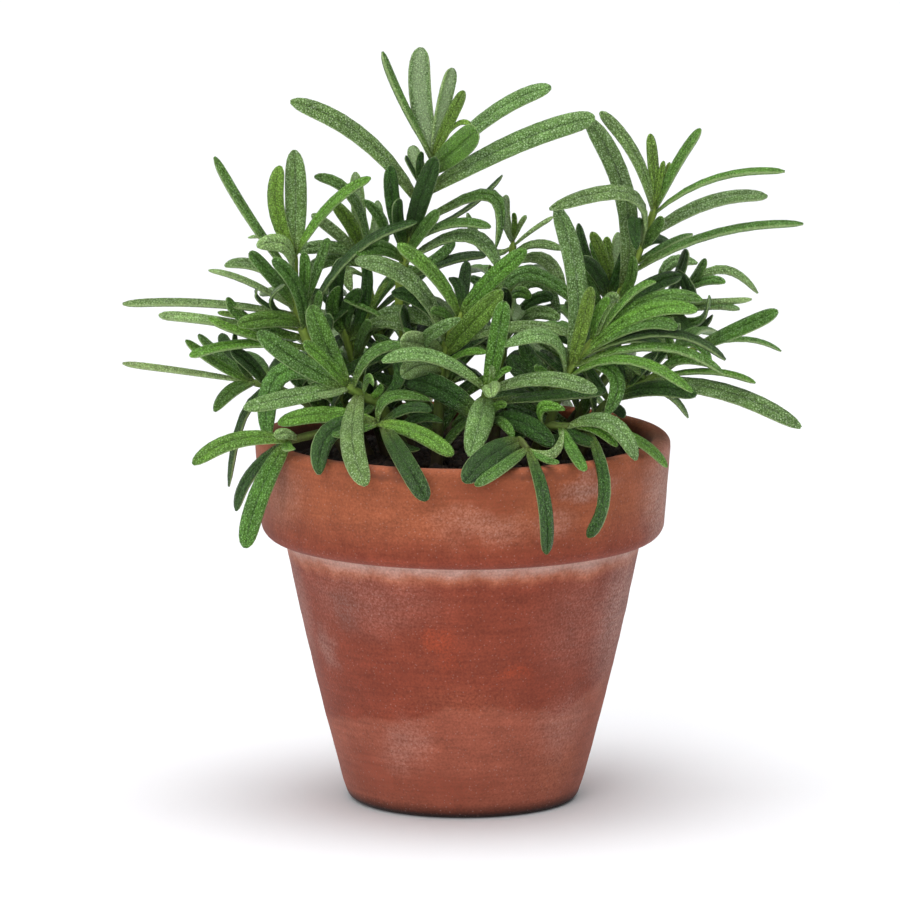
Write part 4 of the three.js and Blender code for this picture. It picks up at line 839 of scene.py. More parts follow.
def foot_to_rim(tree, pot, spot, height, mottle):
    """The clay's colour by height: a ring of painted contact shade, nearly black, at the foot, lower
    clay, the moist belt from the tide line up, dry clay under the rim and a pale line of painted
    highlight in the colour of salts at its edge, then the rim, turning to the soaked clay colour
    towards its lower edge as painted shade."""
    edge = (pot.height - pot.rim_depth) / MM
    across = add(tree, "ShaderNodeSeparateXYZ", {"Vector": spot}).outputs["X"]
    share = spread(tree, across, -TIDE_HALF * MM, TIDE_HALF * MM)
    stops = [((x + TIDE_HALF) / (2 * TIDE_HALF), (z / TIDE_HIGHEST,) * 3) for x, z in TIDE]
    over = times_plus(tree, ramp(tree, share, stops), -TIDE_HIGHEST * MM, height)
    over = times_plus(tree, mottle, 4 * MM, over)
    above_tide = spread(tree, over, 1.3 * MM, 3.1 * MM, kind="SMOOTHSTEP")
    wavy = times_plus(tree, mottle, 5 * MM, height)

    below_rim = spread(tree, wavy, (edge - 2.8) * MM, (edge + 0.2) * MM, 1.0, 0.0, "SMOOTHSTEP")
    body = mixed(tree, above_tide, pot.clay_low, pot.clay_moist)
    body = mixed(tree, below_rim, pot.clay_light, body)
    # painted highlight: a pale line in the colour of salts just under the rim's edge
    rim_edge_highlight = spread(tree, wavy, (edge - 1) * MM, (edge + 2.2) * MM, 0.0, 0.7, "SMOOTHSTEP")
    body = mixed(tree, rim_edge_highlight, body, pot.bloom)
    # painted contact shade: the clay turns nearly black towards the foot's rounding
    foot = spread(tree, height, 0.8 * MM, 3.4 * MM, 0.92, 0.0)
    body = mixed(tree, foot, body, pot.stain_and_shade)

    # painted shade: the rim turns to the soaked clay colour towards its lower edge
    rim_low_shade = spread(tree, wavy, (edge + 4.2) * MM, (edge + 13.2) * MM, 0.95, 0.0)
    rim = mixed(tree, rim_low_shade, pot.clay, pot.red)
    is_rim = add(
        tree, "ShaderNodeMath", {0: height, 1: (edge + 0.1) * MM}, operation="GREATER_THAN"
    ).outputs[0]
    return mixed(tree, is_rim, body, rim)


def marked_spot(angle, level):
    """Where the middle of a mark is on the outside of the pot, in millimetres."""
    turn = math.radians(angle)
    reach = RIM_REACH if level > BODY_HEIGHT else FOOT_REACH + BODY_SLOPE * level
    return Vector((reach * math.sin(turn), -reach * math.cos(turn), level))


def with_marks(tree, pot, clay, spot, grit):
    """The clay with every mark laid over it: a soft oval with a wandering edge, broken up by
    speckles."""
    speckle = spread(tree, grit, 0.38, 0.62, 0.3, 1.0)
    wander = scaled(tree, noise(tree, spot, 9 * MM, 5.0, 0.65, "Color"), 11 * MM)
    warped = combined(tree, spot, wander, "ADD")
    mean_wander = Vector((5.5, 5.5, 5.5))
    colours = {
        "bloom": pot.bloom,
        "dirt": pot.dirt,
        "ochre": pot.ochre,
        "red": pot.red,
        "dry": pot.clay_light,
    }
    for colour, angle, level, across, up, strength in MARKS:
        middle = marked_spot(angle, level) + mean_wander
        offset = combined(tree, warped, tuple(middle * MM), "SUBTRACT")
        size = (across * MM, across * MM, up * MM)
        share = combined(tree, offset, size, "DIVIDE")
        distance = add(
            tree, "ShaderNodeVectorMath", {0: share}, operation="LENGTH"
        ).outputs["Value"]
        mark = spread(tree, distance, 0.2, 1.25, strength, 0.0, "SMOOTHSTEP")
        clay = mixed(tree, times(tree, mark, speckle), clay, colours[colour])
    return clay


def clay_material(pot):
    """Fired terracotta, turned and left bare: a matte, gritty orange-brown body that takes up
    water, so it is darker where it is moist, and dries with a pale speckled bloom of salts."""
    material, tree = new_material("terracotta")
    spot = spot_of(tree)
    height = add(tree, "ShaderNodeSeparateXYZ", {"Vector": spot}).outputs["Z"]
    mottle = noise(tree, spot, 6 * MM, 5.0, 0.6)
    grit = noise(tree, spot, 0.5 * MM, 2.0, 0.6)
    clay = foot_to_rim(tree, pot, spot, height, mottle)
    clay = with_marks(tree, pot, clay, spot, grit)

    # turning lines, mottling and grit
    level_only = combined(tree, spot, (0.06, 0.06, 1.0), "MULTIPLY")
    lined = spread(tree, noise(tree, level_only, 0.9 * MM, 3.0), 0.3, 0.7, 0.9, 1.1)
    shade = spread(tree, mottle, 0.3, 0.7, 0.86, 1.14)
    fine = spread(tree, grit, 0.3, 0.7, 0.8, 1.2)
    clay = scaled(tree, clay, times(tree, times(tree, shade, fine), lined))

    # a scatter of pale grains
    grain = spread(tree, cells(tree, spot, 1.0 * MM, "F1"), 0.12, 0.2, 0.4, 0.0)
    clay = mixed(tree, times(tree, grain, mottle), clay, pot.bloom)

    # damp earth and painted shade darken the wall inside the mouth, nearly to black
    clay = mixed(tree, painted(tree, "inside"), clay, pot.stain_and_shade)

    finish_material(
        tree,
        {
            "Base Color": clay,
            "Roughness": 0.85,
            "IOR": 1.5,
            "Specular IOR Level": 0.25,
            "Sheen Weight": 0.08,
            "Sheen Roughness": 0.5,
            "Normal": bumps(tree, times_plus(tree, mottle, 0.5, grit), 0.55, 0.22 * MM),
        },
    )
    return material


def soil_material(soil):
    """Damp peat compost: nearly black crumbs with browner fibres."""
    material, tree = new_material("potting_soil")
    grain = noise(tree, spot_of(tree), 1.2 * MM, 5.0)
    stops = [(0.35, soil.dark), (0.62, soil.brown), (0.8, soil.fibre)]
    finish_material(
        tree,
        {
            "Base Color": ramp(tree, grain, stops),
            "Roughness": 0.92,
            "Normal": bumps(tree, grain, 0.9, 0.6 * MM),
        },
    )
    return material


def floor_material(stage):
    """Matte white studio paper."""
    material, tree = new_material("studio_paper")
    finish_material(tree, {"Base Color": (*stage.paper, 1), "Roughness": 0.9})
    return material


# ---- Leaves and stems --------------------------------------------------------------------------


def rear_rows(name, shoot):
    """Rows like those of the table for the leaves behind a stem."""
    if name not in REAR["stems"]:
        return []
    rows = []
    stem = np.array(shoot["stem"], dtype=float)
    for low, high in zip(stem[1:-1], stem[2:]):
        across, up, back = (low + high) / 2
        if not REAR["lowest"] < up < REAR["highest"]:
            continue
        for side in (-1, 1):
            turn = len(rows)
            spread = side * REAR["spread"]
            tip = [across + spread, up + REAR["rise"], back + REAR["reach"][turn % 2]]
            middle = [across + spread * 0.4, up + REAR["rise"] + 0.5, back + REAR["reach"][0] / 2]
            colour = REAR["colours"][turn % len(REAR["colours"])]
            rows.append([[across, up], middle, tip, REAR["width"], REAR["roll"], colour])
    return rows


def leaf_table(shoot, rows):
    """Arrays for the leaves of one shoot: root, middle handle, tip, width, roll and colour."""
    path = smooth_path(place(shoot["stem"]), 80)
    roots = np.array([row[0][:2] for row in rows], dtype=float)
    gaps = np.linalg.norm(appears(path)[None] - roots[:, None], axis=-1)
    starts = path[np.argmin(gaps, axis=1)]
    ends = place([row[2] for row in rows])
    backs = np.array(
        [row[1][2] if len(row[1]) > 2 else (start[1] + end[1]) / 2
         for row, start, end in zip(rows, starts, ends)]
    )
    middles = place(np.column_stack([[row[1][:2] for row in rows], backs]))
    handles = 2 * middles - (starts + ends) / 2
    widths = np.array([row[3] for row in rows], dtype=float)
    rolls = np.radians([row[4] for row in rows])
    return starts, handles, ends, widths, rolls, [row[5] for row in rows]


# The outline of a leaf's section, as shares of its half-width and half-thickness: across the upper
# face from one margin to the other, past the groove, and back below past the midrib. The margins
# are rolled under, so the lowest points are near them.
SECTION = np.array(
    [
        (-1.0, -0.25), (-0.93, 0.45), (-0.5, 1.0), (-0.13, 0.75), (0.0, 0.25), (0.13, 0.75),
        (0.5, 1.0), (0.93, 0.45), (1.0, -0.25), (0.8, -1.05), (0.38, -0.25), (0.0, -0.75),
        (-0.38, -0.25), (-0.8, -1.05),
    ]
)
FULL_WIDTH = 3.4  # millimetres: a narrower leaf is thinner too
UPPER = 9  # points of the section on the upper face, margins included
GROOVE = 4  # the point in the middle of the groove
# How much waxy bloom, with painted glints, the crowns of a leaf's pebbles carry.
WAX_AND_GLINT = {"dark": 0.05, "mid": 0.2, "sage": 0.38, "bright": 0.14, "light": 0.35, "young": 0.08}


def inner_table(foliage):
    """Arrays like those of `leaf_table` for the small leaves inside the plant: crossed pairs every
    few millimetres up each stem, rising outwards, kept where the plant is densest."""
    rng = np.random.default_rng(SEED + 7)
    starts, ways = [], []
    for shoot in SHOOTS.values():
        path = smooth_path(place(shoot["stem"]), 120)
        gone = np.concatenate([[0], np.cumsum(np.linalg.norm(np.diff(path, axis=0), axis=1))])
        low_clear, high_clear = INNER["ends_clear"]
        steps = np.arange(low_clear, gone[-1] - high_clear, foliage.inner_step / MM)
        spots = np.stack([np.interp(steps, gone, path[:, k]) for k in range(3)], axis=-1)
        turn = rng.uniform(0, math.pi) + np.arange(len(steps)) * math.pi / 2
        turn = turn + rng.normal(0, 0.3, len(steps))
        way = np.stack([np.cos(turn), np.sin(turn), np.zeros(len(steps))], axis=-1)
        starts += [spots, spots]
        ways += [way, -way]
    starts, ways = np.concatenate(starts), np.concatenate(ways)
    count = len(starts)
    rise = np.radians(rng.uniform(*INNER["rise"], count))[:, None]
    length = rng.uniform(*INNER["length"], count)[:, None]
    ends = starts + length * (ways * np.cos(rise) + [0, 0, 1] * np.sin(rise))
    arch = rng.uniform(*INNER["arch"], (count, 1))
    handles = (starts + ends) / 2 + [0, 0, 1] * length * arch
    widths = rng.uniform(*INNER["width"], count)
    rolls = np.radians(rng.uniform(*INNER["roll"], count))
    colours = rng.choice(INNER["colours"], count)
    middle, half = np.array(INNER["oval"])
    keep = np.sum(((appears(ends) - middle) / half) ** 2, axis=-1) < 1
    keep &= np.hypot(ends[:, 0], ends[:, 1]) < INNER["widest"]
    keep &= (starts[:, 2] > INNER["lowest_root"]) & (ends[:, 2] > INNER["lowest_tip"])
    keep &= (starts[:, 1] > INNER["front_root"]) & (ends[:, 1] > INNER["front_tip"])
    colours = [colour for colour, kept in zip(colours, keep) if kept]
    return starts[keep], handles[keep], ends[keep], widths[keep], rolls[keep], colours


def breadth(s, bluntness):
    """A leaf's share of its full width at the share s of its length: narrow at the root, nearly
    parallel-sided, blunt at the tip, the more so the higher the bluntness."""
    return (1 - 0.6 * (1 - s) ** 5) * np.sqrt(1 - s**bluntness)


def leaves_object(name, table, foliage, rings=12):
    """One object that holds many blades. A blade's middle line is a quadratic curve from root to
    tip, and the section is carried along it, scaled by `breadth`. The rings lie closer together
    towards the tip."""
    starts, handles, ends, widths, rolls, colours = table
    count = len(widths)
    rng = np.random.default_rng(SEED + sum(map(ord, name)))
    t = np.sin(np.linspace(0, 1, rings) * math.pi / 2)
    s = t[None, :, None]
    line = (1 - s) ** 2 * starts[:, None] + 2 * s * (1 - s) * handles[:, None] + s**2 * ends[:, None]
    along = unit(
        2 * (1 - s) * (handles - starts)[:, None] + 2 * s * (ends - handles)[:, None]
    )
    chord = unit(ends - starts)
    eye, up = np.array([0, -COS, SIN]), np.array([0, SIN, COS])
    facing = square(np.broadcast_to(eye, chord.shape), chord)
    side = np.cross(chord, facing)
    side *= np.where(side @ up < 0, -1.0, 1.0)[:, None]
    normal = facing * np.cos(rolls)[:, None] + side * np.sin(rolls)[:, None]
    wide = np.cross(chord, normal)
    across = square(np.broadcast_to(wide[:, None], along.shape), along)
    # a slight twist and wave along the blade
    lift = np.cross(across, along)
    twist = rng.uniform(-0.22, 0.22, count)[:, None] * (t - 0.4)[None]
    cos, sin = np.cos(twist)[..., None], np.sin(twist)[..., None]
    across, lift = across * cos + lift * sin, lift * cos - across * sin

    # the longer a leaf is for its width, the shorter the stretch that its tip is rounded over
    length = np.linalg.norm(ends - starts, axis=1)
    bluntness = np.clip(2 * length / widths, 5, 18) * rng.uniform(0.65, 1.1, count)
    scale = breadth(t[None], bluntness[:, None])
    scale[:, -1] = 0.16
    half = widths[:, None] / 2 * scale
    thick = foliage.thickness / MM / 2 * np.maximum(scale, 0.35)
    thick = thick * np.clip(widths / FULL_WIDTH, 0.5, 1.15)[:, None]
    x = SECTION[:, 0][None, None] * half[..., None]
    z = SECTION[:, 1][None, None] * thick[..., None]
    points = (
        line[:, :, None]
        + across[:, :, None] * x[..., None]
        + lift[:, :, None] * z[..., None]
    )
    sides = len(SECTION)
    quads = tube_faces(rings, sides)
    quads = np.concatenate([quads + i * rings * sides for i in range(count)])
    offset = np.arange(count)[:, None, None] * rings * sides
    caps = [(cap[None] + offset).reshape(-1, 4) for cap in end_caps(rings, sides)]
    piece = mesh_object(name, points, np.concatenate([quads, *caps]))

    paint_leaves(piece, foliage, colours, t, points.shape[:3], rng)
    return piece


def paint_leaves(piece, foliage, colours, t, shape, rng):
    """What the leaf material reads at each vertex: the tint, a little different on each leaf and
    yellower at its root, how much waxy bloom and painted glint its pebbles carry, and whether it
    is on the underside, a margin or the groove. The shape is the number of leaves, rings and
    sides, and t is each ring's share of the length."""
    count, _, sides = shape
    base = np.array([getattr(foliage, f"leaf_{colour}") for colour in colours])
    vary = rng.uniform(0.86, 1.14, (count, 1)) * (1 + rng.uniform(-0.05, 0.05, (count, 3)))
    base = base * vary
    young = np.array(foliage.young_root)
    rootward = np.clip(1 - t / 0.22, 0, 1)[None, :, None] * 0.55
    tint = base[:, None] * (1 - rootward) + young * rootward
    tint = np.broadcast_to(tint[:, :, None], (*shape, 3))
    tint = np.concatenate([tint, np.ones((*shape, 1))], axis=-1)
    add_attribute(piece, "tint", "FLOAT_COLOR", tint)
    wax_and_glint = np.array([WAX_AND_GLINT[colour] for colour in colours])
    add_attribute(piece, "wax_and_glint", "FLOAT", np.broadcast_to(wax_and_glint[:, None, None], shape))
    is_under = (np.arange(sides) > UPPER) * (np.arange(sides) < sides - 1) * 1.0
    add_attribute(piece, "under", "FLOAT", np.broadcast_to(is_under, shape))
    is_margin = np.isin(np.arange(sides), (0, UPPER - 1)) * 1.0
    add_attribute(piece, "margin", "FLOAT", np.broadcast_to(is_margin, shape))
    is_groove = (np.arange(sides) == GROOVE) * 1.0
    fading = np.clip((1 - t) / 0.15, 0, 1)[:, None] * is_groove[None]
    add_attribute(piece, "groove", "FLOAT", np.broadcast_to(fading, shape))


# Heights in millimetres between which a stem turns from green to bark, and the distance between the
# swellings where its leaves grow.
ALL_GREEN = 104
ALL_BARK = 74
SWELLING_STEP = 5


def stem_object(name, shoot, rings=40, sides=16):
    """A stem: a ring of points carried up a smooth path, tapering, squarish with four ribs, and a
    little swollen where each pair of leaves grows."""
    path = smooth_path(place(shoot["stem"]), rings)
    along = unit(np.gradient(path, axis=0))
    across = square(np.broadcast_to([1.0, 0.2, 0.0], along.shape), along)
    lift = np.cross(across, along)
    share = np.linspace(0, 1, rings)
    low, high = shoot["girth"]
    radius = (low + (high - low) * share) / 2
    length = np.concatenate([[0], np.cumsum(np.linalg.norm(np.diff(path, axis=0), axis=1))])
    radius = radius * (1 + 0.09 * np.cos(length / SWELLING_STEP * 2 * math.pi) ** 6)
    radius[0] *= 0.2
    radius[-1] *= 0.3
    angle = np.arange(sides) / sides * 2 * math.pi
    rib = np.cos(4 * angle) * 0.5 + 0.5
    reach = radius[:, None] * (0.93 + 0.1 * rib[None])
    points = (
        path[:, None]
        + across[:, None] * (np.cos(angle)[None] * reach)[..., None]
        - lift[:, None] * (np.sin(angle)[None] * reach)[..., None]
    )
    faces = np.concatenate([tube_faces(rings, sides), *end_caps(rings, sides)])
    piece = mesh_object(name, points, faces)
    age = np.clip((ALL_GREEN - points[..., 2]) / (ALL_GREEN - ALL_BARK), 0, 1) * 0.85
    add_attribute(piece, "age", "FLOAT", age)
    add_attribute(piece, "rib", "FLOAT", np.broadcast_to(rib, age.shape))
    return piece

# ---- The pot and the soil ----------------------------------------------------------------------


def arc(middle, radius, start, end, steps=6):
    """Points on an arc of the pot's profile, in degrees, 0 outwards and 90 up."""
    angles = np.radians(np.linspace(start, end, steps))
    return [(middle[0] + radius * math.cos(a), middle[1] + radius * math.sin(a)) for a in angles]


# The pot's floor and its roundings, in millimetres.
FLOOR = 6.0
FOOT_ROUND = 2.3
RIM_FOOT_ROUND = 3.3
LIP_ROUND = 1.85
INNER_LIP_ROUND = 1.4


def pot_profile(pot):
    """Half the pot's section as (radius, height) in millimetres: the foot, the tapering body, the
    thick rim with a rounded lip, and back down inside to the drainage hole."""
    radius, height = pot.rim_radius / MM, pot.height / MM
    foot = pot.foot_radius / MM
    under = height - pot.rim_depth / MM
    body_top = pot.body_radius / MM
    wall = pot.wall / MM
    hole = pot.hole_radius / MM
    bulge = pot.bulge / MM
    outline = [(hole, 0.6), (hole + 0.6, 0.0), (foot - 6, 0.0)]
    outline += arc((foot - 2.2, FOOT_ROUND), FOOT_ROUND, -90, -14, 8)
    share = np.linspace(0.03, 0.97, 34)
    taper = foot + 0.3 + (body_top - foot - 0.3) * share + bulge * 4 * share * (1 - share)
    outline += list(zip(taper, 2.2 + (under - 2.2) * share))
    outline += [(body_top - 0.1, under - 0.6), (body_top + 0.1, under - 0.15)]
    outline += [(body_top + 0.6, under), (body_top + 1.6, under + 0.12)]
    outline += arc((radius - 4.6, under + 3.4), RIM_FOOT_ROUND, -80, -6, 9)
    rim = np.linspace(under + 4.6, height - 2.4, 14)
    outline += [(radius - 1.2 + 1.15 * (z - under - 4.6) / (height - under - 7.0), z) for z in rim]
    outline += arc((radius - 1.9, height - LIP_ROUND), LIP_ROUND, 8, 90, 8)
    outline += [(radius - 2.9, height)]
    inner_lip = (radius - wall + 1.3, height - INNER_LIP_ROUND)
    outline += arc(inner_lip, INNER_LIP_ROUND, 100, 172, 6)
    inner_top = (radius - wall, height - 2.2)
    inner_foot = (foot - wall - 0.2, FLOOR + 1.5)
    outline += [
        tuple(np.array(inner_top) + (np.array(inner_foot) - inner_top) * s)
        for s in np.linspace(0.03, 1, 24)
    ]
    outline += [(foot - wall - 1.2, FLOOR + 0.3), (foot - wall - 3, FLOOR)]
    outline += [(hole + 0.5, FLOOR), (hole, FLOOR - 0.4)]
    return np.array(outline)


def revolve(profile, sides):
    """Turns a closed profile of (radius, height) points round the Z axis: every ring at equal
    angles, and the last ring joined to the first."""
    angle = np.arange(sides) / sides * 2 * math.pi
    ways = np.stack([np.cos(angle), np.sin(angle)], axis=-1)
    points = np.concatenate(
        [
            profile[:, None, :1] * ways[None],
            np.broadcast_to(profile[:, None, 1:], (len(profile), sides, 1)),
        ],
        axis=-1,
    )
    faces = tube_faces(len(profile) + 1, sides) % (len(profile) * sides)
    return points, faces


def pot_object(pot):
    """The pot: its profile turned round the Z axis in 180 steps. Throwing marks move the outside in
    and out by less than a tenth of a millimetre, and the whole wanders a little more than that."""
    profile = pot_profile(pot)
    points, faces = revolve(profile, 180)
    radius = np.linalg.norm(points[..., :2], axis=-1, keepdims=True)
    outward = points * [1, 1, 0] / np.maximum(radius, 1e-6)
    marks = lumps(points * [0.12, 0.12, 1.0], 5.0, SEED)[..., None] * 0.035
    wander = lumps(points, 60.0, SEED + 1)[..., None] * 0.06
    points = points + outward * (marks + wander)
    piece = mesh_object("terracotta_pot", points, faces)
    height = pot.height / MM
    # damp earth and painted shade: the inner wall darkens from just under the lip down to the soil
    inner = np.arange(len(profile)) > np.argmax(profile[:, 1])
    depth = np.clip((height - 0.9 - profile[:, 1]) / 2.2, 0, 1) * inner
    stain_and_shade = np.broadcast_to(depth[:, None], points.shape[:2]) * 0.93
    add_attribute(piece, "inside", "FLOAT", stain_and_shade)
    return piece


def soil_object(pot, soil):
    """The soil: a body whose side and foot follow the inside of the pot, and whose top is a disc of
    rings pushed up and down by noise on three sizes, the least of them the crumbs."""
    level = soil.level / MM
    inside = pot.rim_radius / MM - pot.wall / MM
    foot = pot.foot_radius / MM - pot.wall / MM - 0.6
    lean = (inside - foot) / (pot.height / MM - 8)
    edge = foot + lean * (level - FLOOR) - 0.35
    shares = np.linspace(0, 1, 90) ** 0.8
    top = np.column_stack([edge * shares[::-1], np.full(90, level)])
    top[-1, 0] = 0.05
    low = [(0.05, FLOOR + 0.4), (foot - 3.4, FLOOR + 0.4), (foot - 0.5, FLOOR + 1.5)]
    side = [(foot + lean * (z - FLOOR) - 0.35, z) for z in np.linspace(12, level - 1.5, 10)]
    profile = np.array(low + side + top.tolist())
    points, faces = revolve(profile, 150)
    reach = np.linalg.norm(points[..., :2], axis=-1) / edge
    is_top = (np.arange(len(profile)) >= len(low) + len(side)) * 1.0
    fade = np.clip((1.0 - reach) / 0.03, 0, 1) * 0.8 + 0.2
    relief = lumps(points, 22.0, SEED + 2, 2) * 0.7 + np.abs(lumps(points, 4.0, SEED + 3, 4)) * 0.9
    points[..., 2] += (relief - 0.6) * is_top[:, None] * fade
    return mesh_object("potting_soil", points, faces)


def crumbs_object(pot, soil):
    """Loose crumbs on the soil: six-sided balls of five rings, flattened, turned and roughened,
    scattered evenly over the disc by the golden angle and jittered."""
    rng = np.random.default_rng(SEED + 5)
    count = soil.crumbs
    level = soil.level / MM
    edge = pot.rim_radius / MM - pot.wall / MM - 3.6
    share = (np.arange(count) + 0.5) / count
    turn = np.arange(count) * math.pi * (3 - 5**0.5) + rng.normal(0, 0.6, count)
    reach = edge * np.sqrt(share) * rng.uniform(0.94, 1.0, count)
    size = rng.uniform(0.5, 1.0, count) ** 2 * 1.7 + 0.25
    spots = np.column_stack(
        [reach * np.cos(turn), reach * np.sin(turn), level + size * 0.35 - 0.1]
    )
    rings, sides = 5, 6
    tilt = np.linspace(-0.46, 0.46, rings) * math.pi
    angle = np.arange(sides) / sides * 2 * math.pi
    ball = np.stack(
        [
            np.cos(tilt)[:, None] * np.cos(angle)[None],
            np.cos(tilt)[:, None] * np.sin(angle)[None],
            np.broadcast_to(np.sin(tilt)[:, None], (rings, sides)),
        ],
        axis=-1,
    )
    stretch = rng.uniform(0.6, 1.3, (count, 1, 1, 3)) * [1, 1, 0.75]
    rough = rng.uniform(0.8, 1.2, (count, rings, sides, 1))
    shape = ball[None] * stretch * rough * size[:, None, None, None]
    spin = rng.uniform(0, 2 * math.pi, count)[:, None, None]
    cos, sin = np.cos(spin), np.sin(spin)
    x, y = shape[..., 0] * cos - shape[..., 1] * sin, shape[..., 0] * sin + shape[..., 1] * cos
    points = np.stack([x, y, shape[..., 2]], axis=-1) + spots[:, None, None]
    one = np.concatenate([tube_faces(rings, sides), *end_caps(rings, sides)])
    faces = (one[None] + np.arange(count)[:, None, None] * rings * sides).reshape(-1, 4)
    return mesh_object("soil_crumbs", points, faces)


# ---- Settings ----------------------------------------------------------------------------------


def colour_setting(name, description, code):
    return FloatVectorProperty(
        name=name,
        description=description,
        default=linear(code),
        subtype="COLOR",
        size=3,
        min=0,
        max=1,
    )


def length_setting(name, description, size):
    return FloatProperty(
        name=name,
        description=description,
        default=size * MM,
        min=0,
        unit="LENGTH",
        subtype="DISTANCE",
        precision=5,
    )


POT_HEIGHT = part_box("pot")[1].z / MM


class RosemaryPotSettings(PropertyGroup):
    height: length_setting("Height", "Height of the pot", POT_HEIGHT)
    rim_radius: length_setting("Rim radius", "Outer radius of the rim at the lip", 45.2)
    rim_depth: length_setting("Rim depth", "Height of the thick rim", 22.2)
    body_radius: length_setting("Body radius", "Radius of the body just under the rim", 38.9)
    bulge: length_setting("Bulge", "How far the body's middle stands out from its taper", 0.55)
    foot_radius: length_setting("Foot radius", "Radius of the foot", 25.4)
    wall: length_setting("Wall", "Thickness of the wall at the lip", 4.2)
    hole_radius: length_setting("Hole radius", "Radius of the drainage hole", 5)
    clay: colour_setting("Clay", "Fired clay of the rim", "#9c5537")
    clay_moist: colour_setting("Moist clay", "Clay that has taken up water", "#88402d")
    clay_low: colour_setting("Lower clay", "Clay below the tide line", "#9a5440")
    clay_light: colour_setting("Dry clay", "Clay that dries first", "#ad654a")
    red: colour_setting("Soaked clay", "Clay that is wettest", "#823a28")
    # salt bloom, also used for painted sheen on the pot's edges and the painted highlight line under
    # the rim
    bloom: colour_setting("Bloom", "Salts left where water dries", "#bda197")
    dirt: colour_setting("Dirt", "Earth rubbed into the clay", "#4b3029")
    ochre: colour_setting("Ochre", "Redder spots in the clay", "#b34a28")
    # nearly black: damp earth and painted shade on the inner wall, and painted contact shade at the
    # foot
    stain_and_shade: colour_setting("Stain", "Damp earth on the inner wall", "#0a0706")


class RosemarySoilSettings(PropertyGroup):
    level: length_setting("Level", "Height of the soil's surface", 73.4)
    crumbs: IntProperty(
        name="Crumbs", description="Number of loose crumbs", default=700, min=0, max=2000
    )
    dark: colour_setting("Peat", "Damp peat", "#17110d")
    brown: colour_setting("Crumb", "Drier crumbs", "#33241a")
    fibre: colour_setting("Fibre", "Fibres in the peat", "#5a4230")


class RosemaryFoliageSettings(PropertyGroup):
    thickness: length_setting("Leaf thickness", "Thickness of a leaf of full width", 1.25)
    pebble: length_setting("Pebbles", "Size of the pebbles on a leaf", 0.54)
    inner_step: length_setting("Inner leaves", "Distance between pairs of inner leaves", 5)
    fringe_strength: FloatProperty(
        name="Fringe",
        description="How pale the margins are",
        default=0.7,
        min=0,
        max=1,
        subtype="FACTOR",
    )
    # painted shade: this colour darkens leaves that lie in shade inside the plant
    leaf_dark: colour_setting("Shaded leaf", "Old leaf inside the plant", "#3a661b")
    leaf_mid: colour_setting("Leaf", "Common leaf", "#639a2c")
    leaf_sage: colour_setting("Sage leaf", "Leaf with a waxy bloom", "#82ae54")
    # painted light: this colour lightens leaves that lie in the light
    leaf_bright: colour_setting("Bright leaf", "Full-grown leaf in the light", "#74ae32")
    leaf_light: colour_setting("Light leaf", "Leaf that shows its underside", "#a9d176")
    leaf_young: colour_setting("Young leaf", "Leaf of a shoot's tip", "#87b23e")
    underside: colour_setting("Underside", "Felt on the underside", "#bdd2a8")
    young_root: colour_setting("Leaf base", "Yellow-green where a leaf joins", "#a5bb52")
    fringe: colour_setting("Fringe hairs", "Hairs on the margins", "#c3de96")
    # partly real waxy bloom and partly painted glints on the pebble crowns
    wax_and_glint: colour_setting("Wax", "Wax on the pebbles", "#d8dfd0")
    stem: colour_setting("Young stem", "Downy young stem", "#869f3e")
    stem_mid: colour_setting("Stem", "Stem lower down", "#5f7a2c")
    bark: colour_setting("Bark", "Bark near the soil", "#453a20")


class RosemaryStageSettings(PropertyGroup):
    paper: colour_setting("Paper", "Studio paper", "#f3f4f7")
    side_light: FloatProperty(
        name="Side light", description="Strength of the tent's sides", default=0.1, min=0
    )
    top_light: FloatProperty(
        name="Top light", description="Strength of the tent's top", default=0.54, min=0
    )
    box_light: FloatProperty(
        name="Overhead light", description="Strength of the box overhead", default=5.5, min=0
    )


# ---- Operators ---------------------------------------------------------------------------------


def adopt(piece, material, nodes=()):
    """A finished piece: its material, its place on the body, and the solids that it stands for."""
    piece.data.materials.append(material)
    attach(piece, ROOT_BODY)
    if nodes:
        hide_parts(*nodes)


class ROSEMARY_OT_pot(Operator):
    """Make the terracotta pot"""

    bl_idname = "rosemary.pot"
    bl_label = "Pot"

    def execute(self, context):
        pot = context.scene.rosemary_pot
        adopt(pot_object(pot), clay_material(pot), ["pot"])
        return {"FINISHED"}


class ROSEMARY_OT_soil(Operator):
    """Make the soil and the crumbs that lie on it"""

    bl_idname = "rosemary.soil"
    bl_label = "Soil"

    def execute(self, context):
        pot, soil = context.scene.rosemary_pot, context.scene.rosemary_soil
        material = soil_material(soil)
        adopt(soil_object(pot, soil), material, ["soil"])
        adopt(crumbs_object(pot, soil), material)
        return {"FINISHED"}


class ROSEMARY_OT_stems(Operator):
    """Make a stem for each shoot"""

    bl_idname = "rosemary.stems"
    bl_label = "Stems"

    def execute(self, context):
        material = stem_material(context.scene.rosemary_foliage)
        for name, shoot in SHOOTS.items():
            piece = stem_object(f"shoot_{name}_stem", shoot)
            adopt(piece, material, [f"stem_{name}"])
        return {"FINISHED"}


def leaf_nodes(name):
    """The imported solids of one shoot's leaves: leaf_NAME_1, leaf_NAME_2 and so on."""
    start = f"leaf_{name}_"
    return [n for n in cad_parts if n.startswith(start) and n[len(start) :].isdigit()]


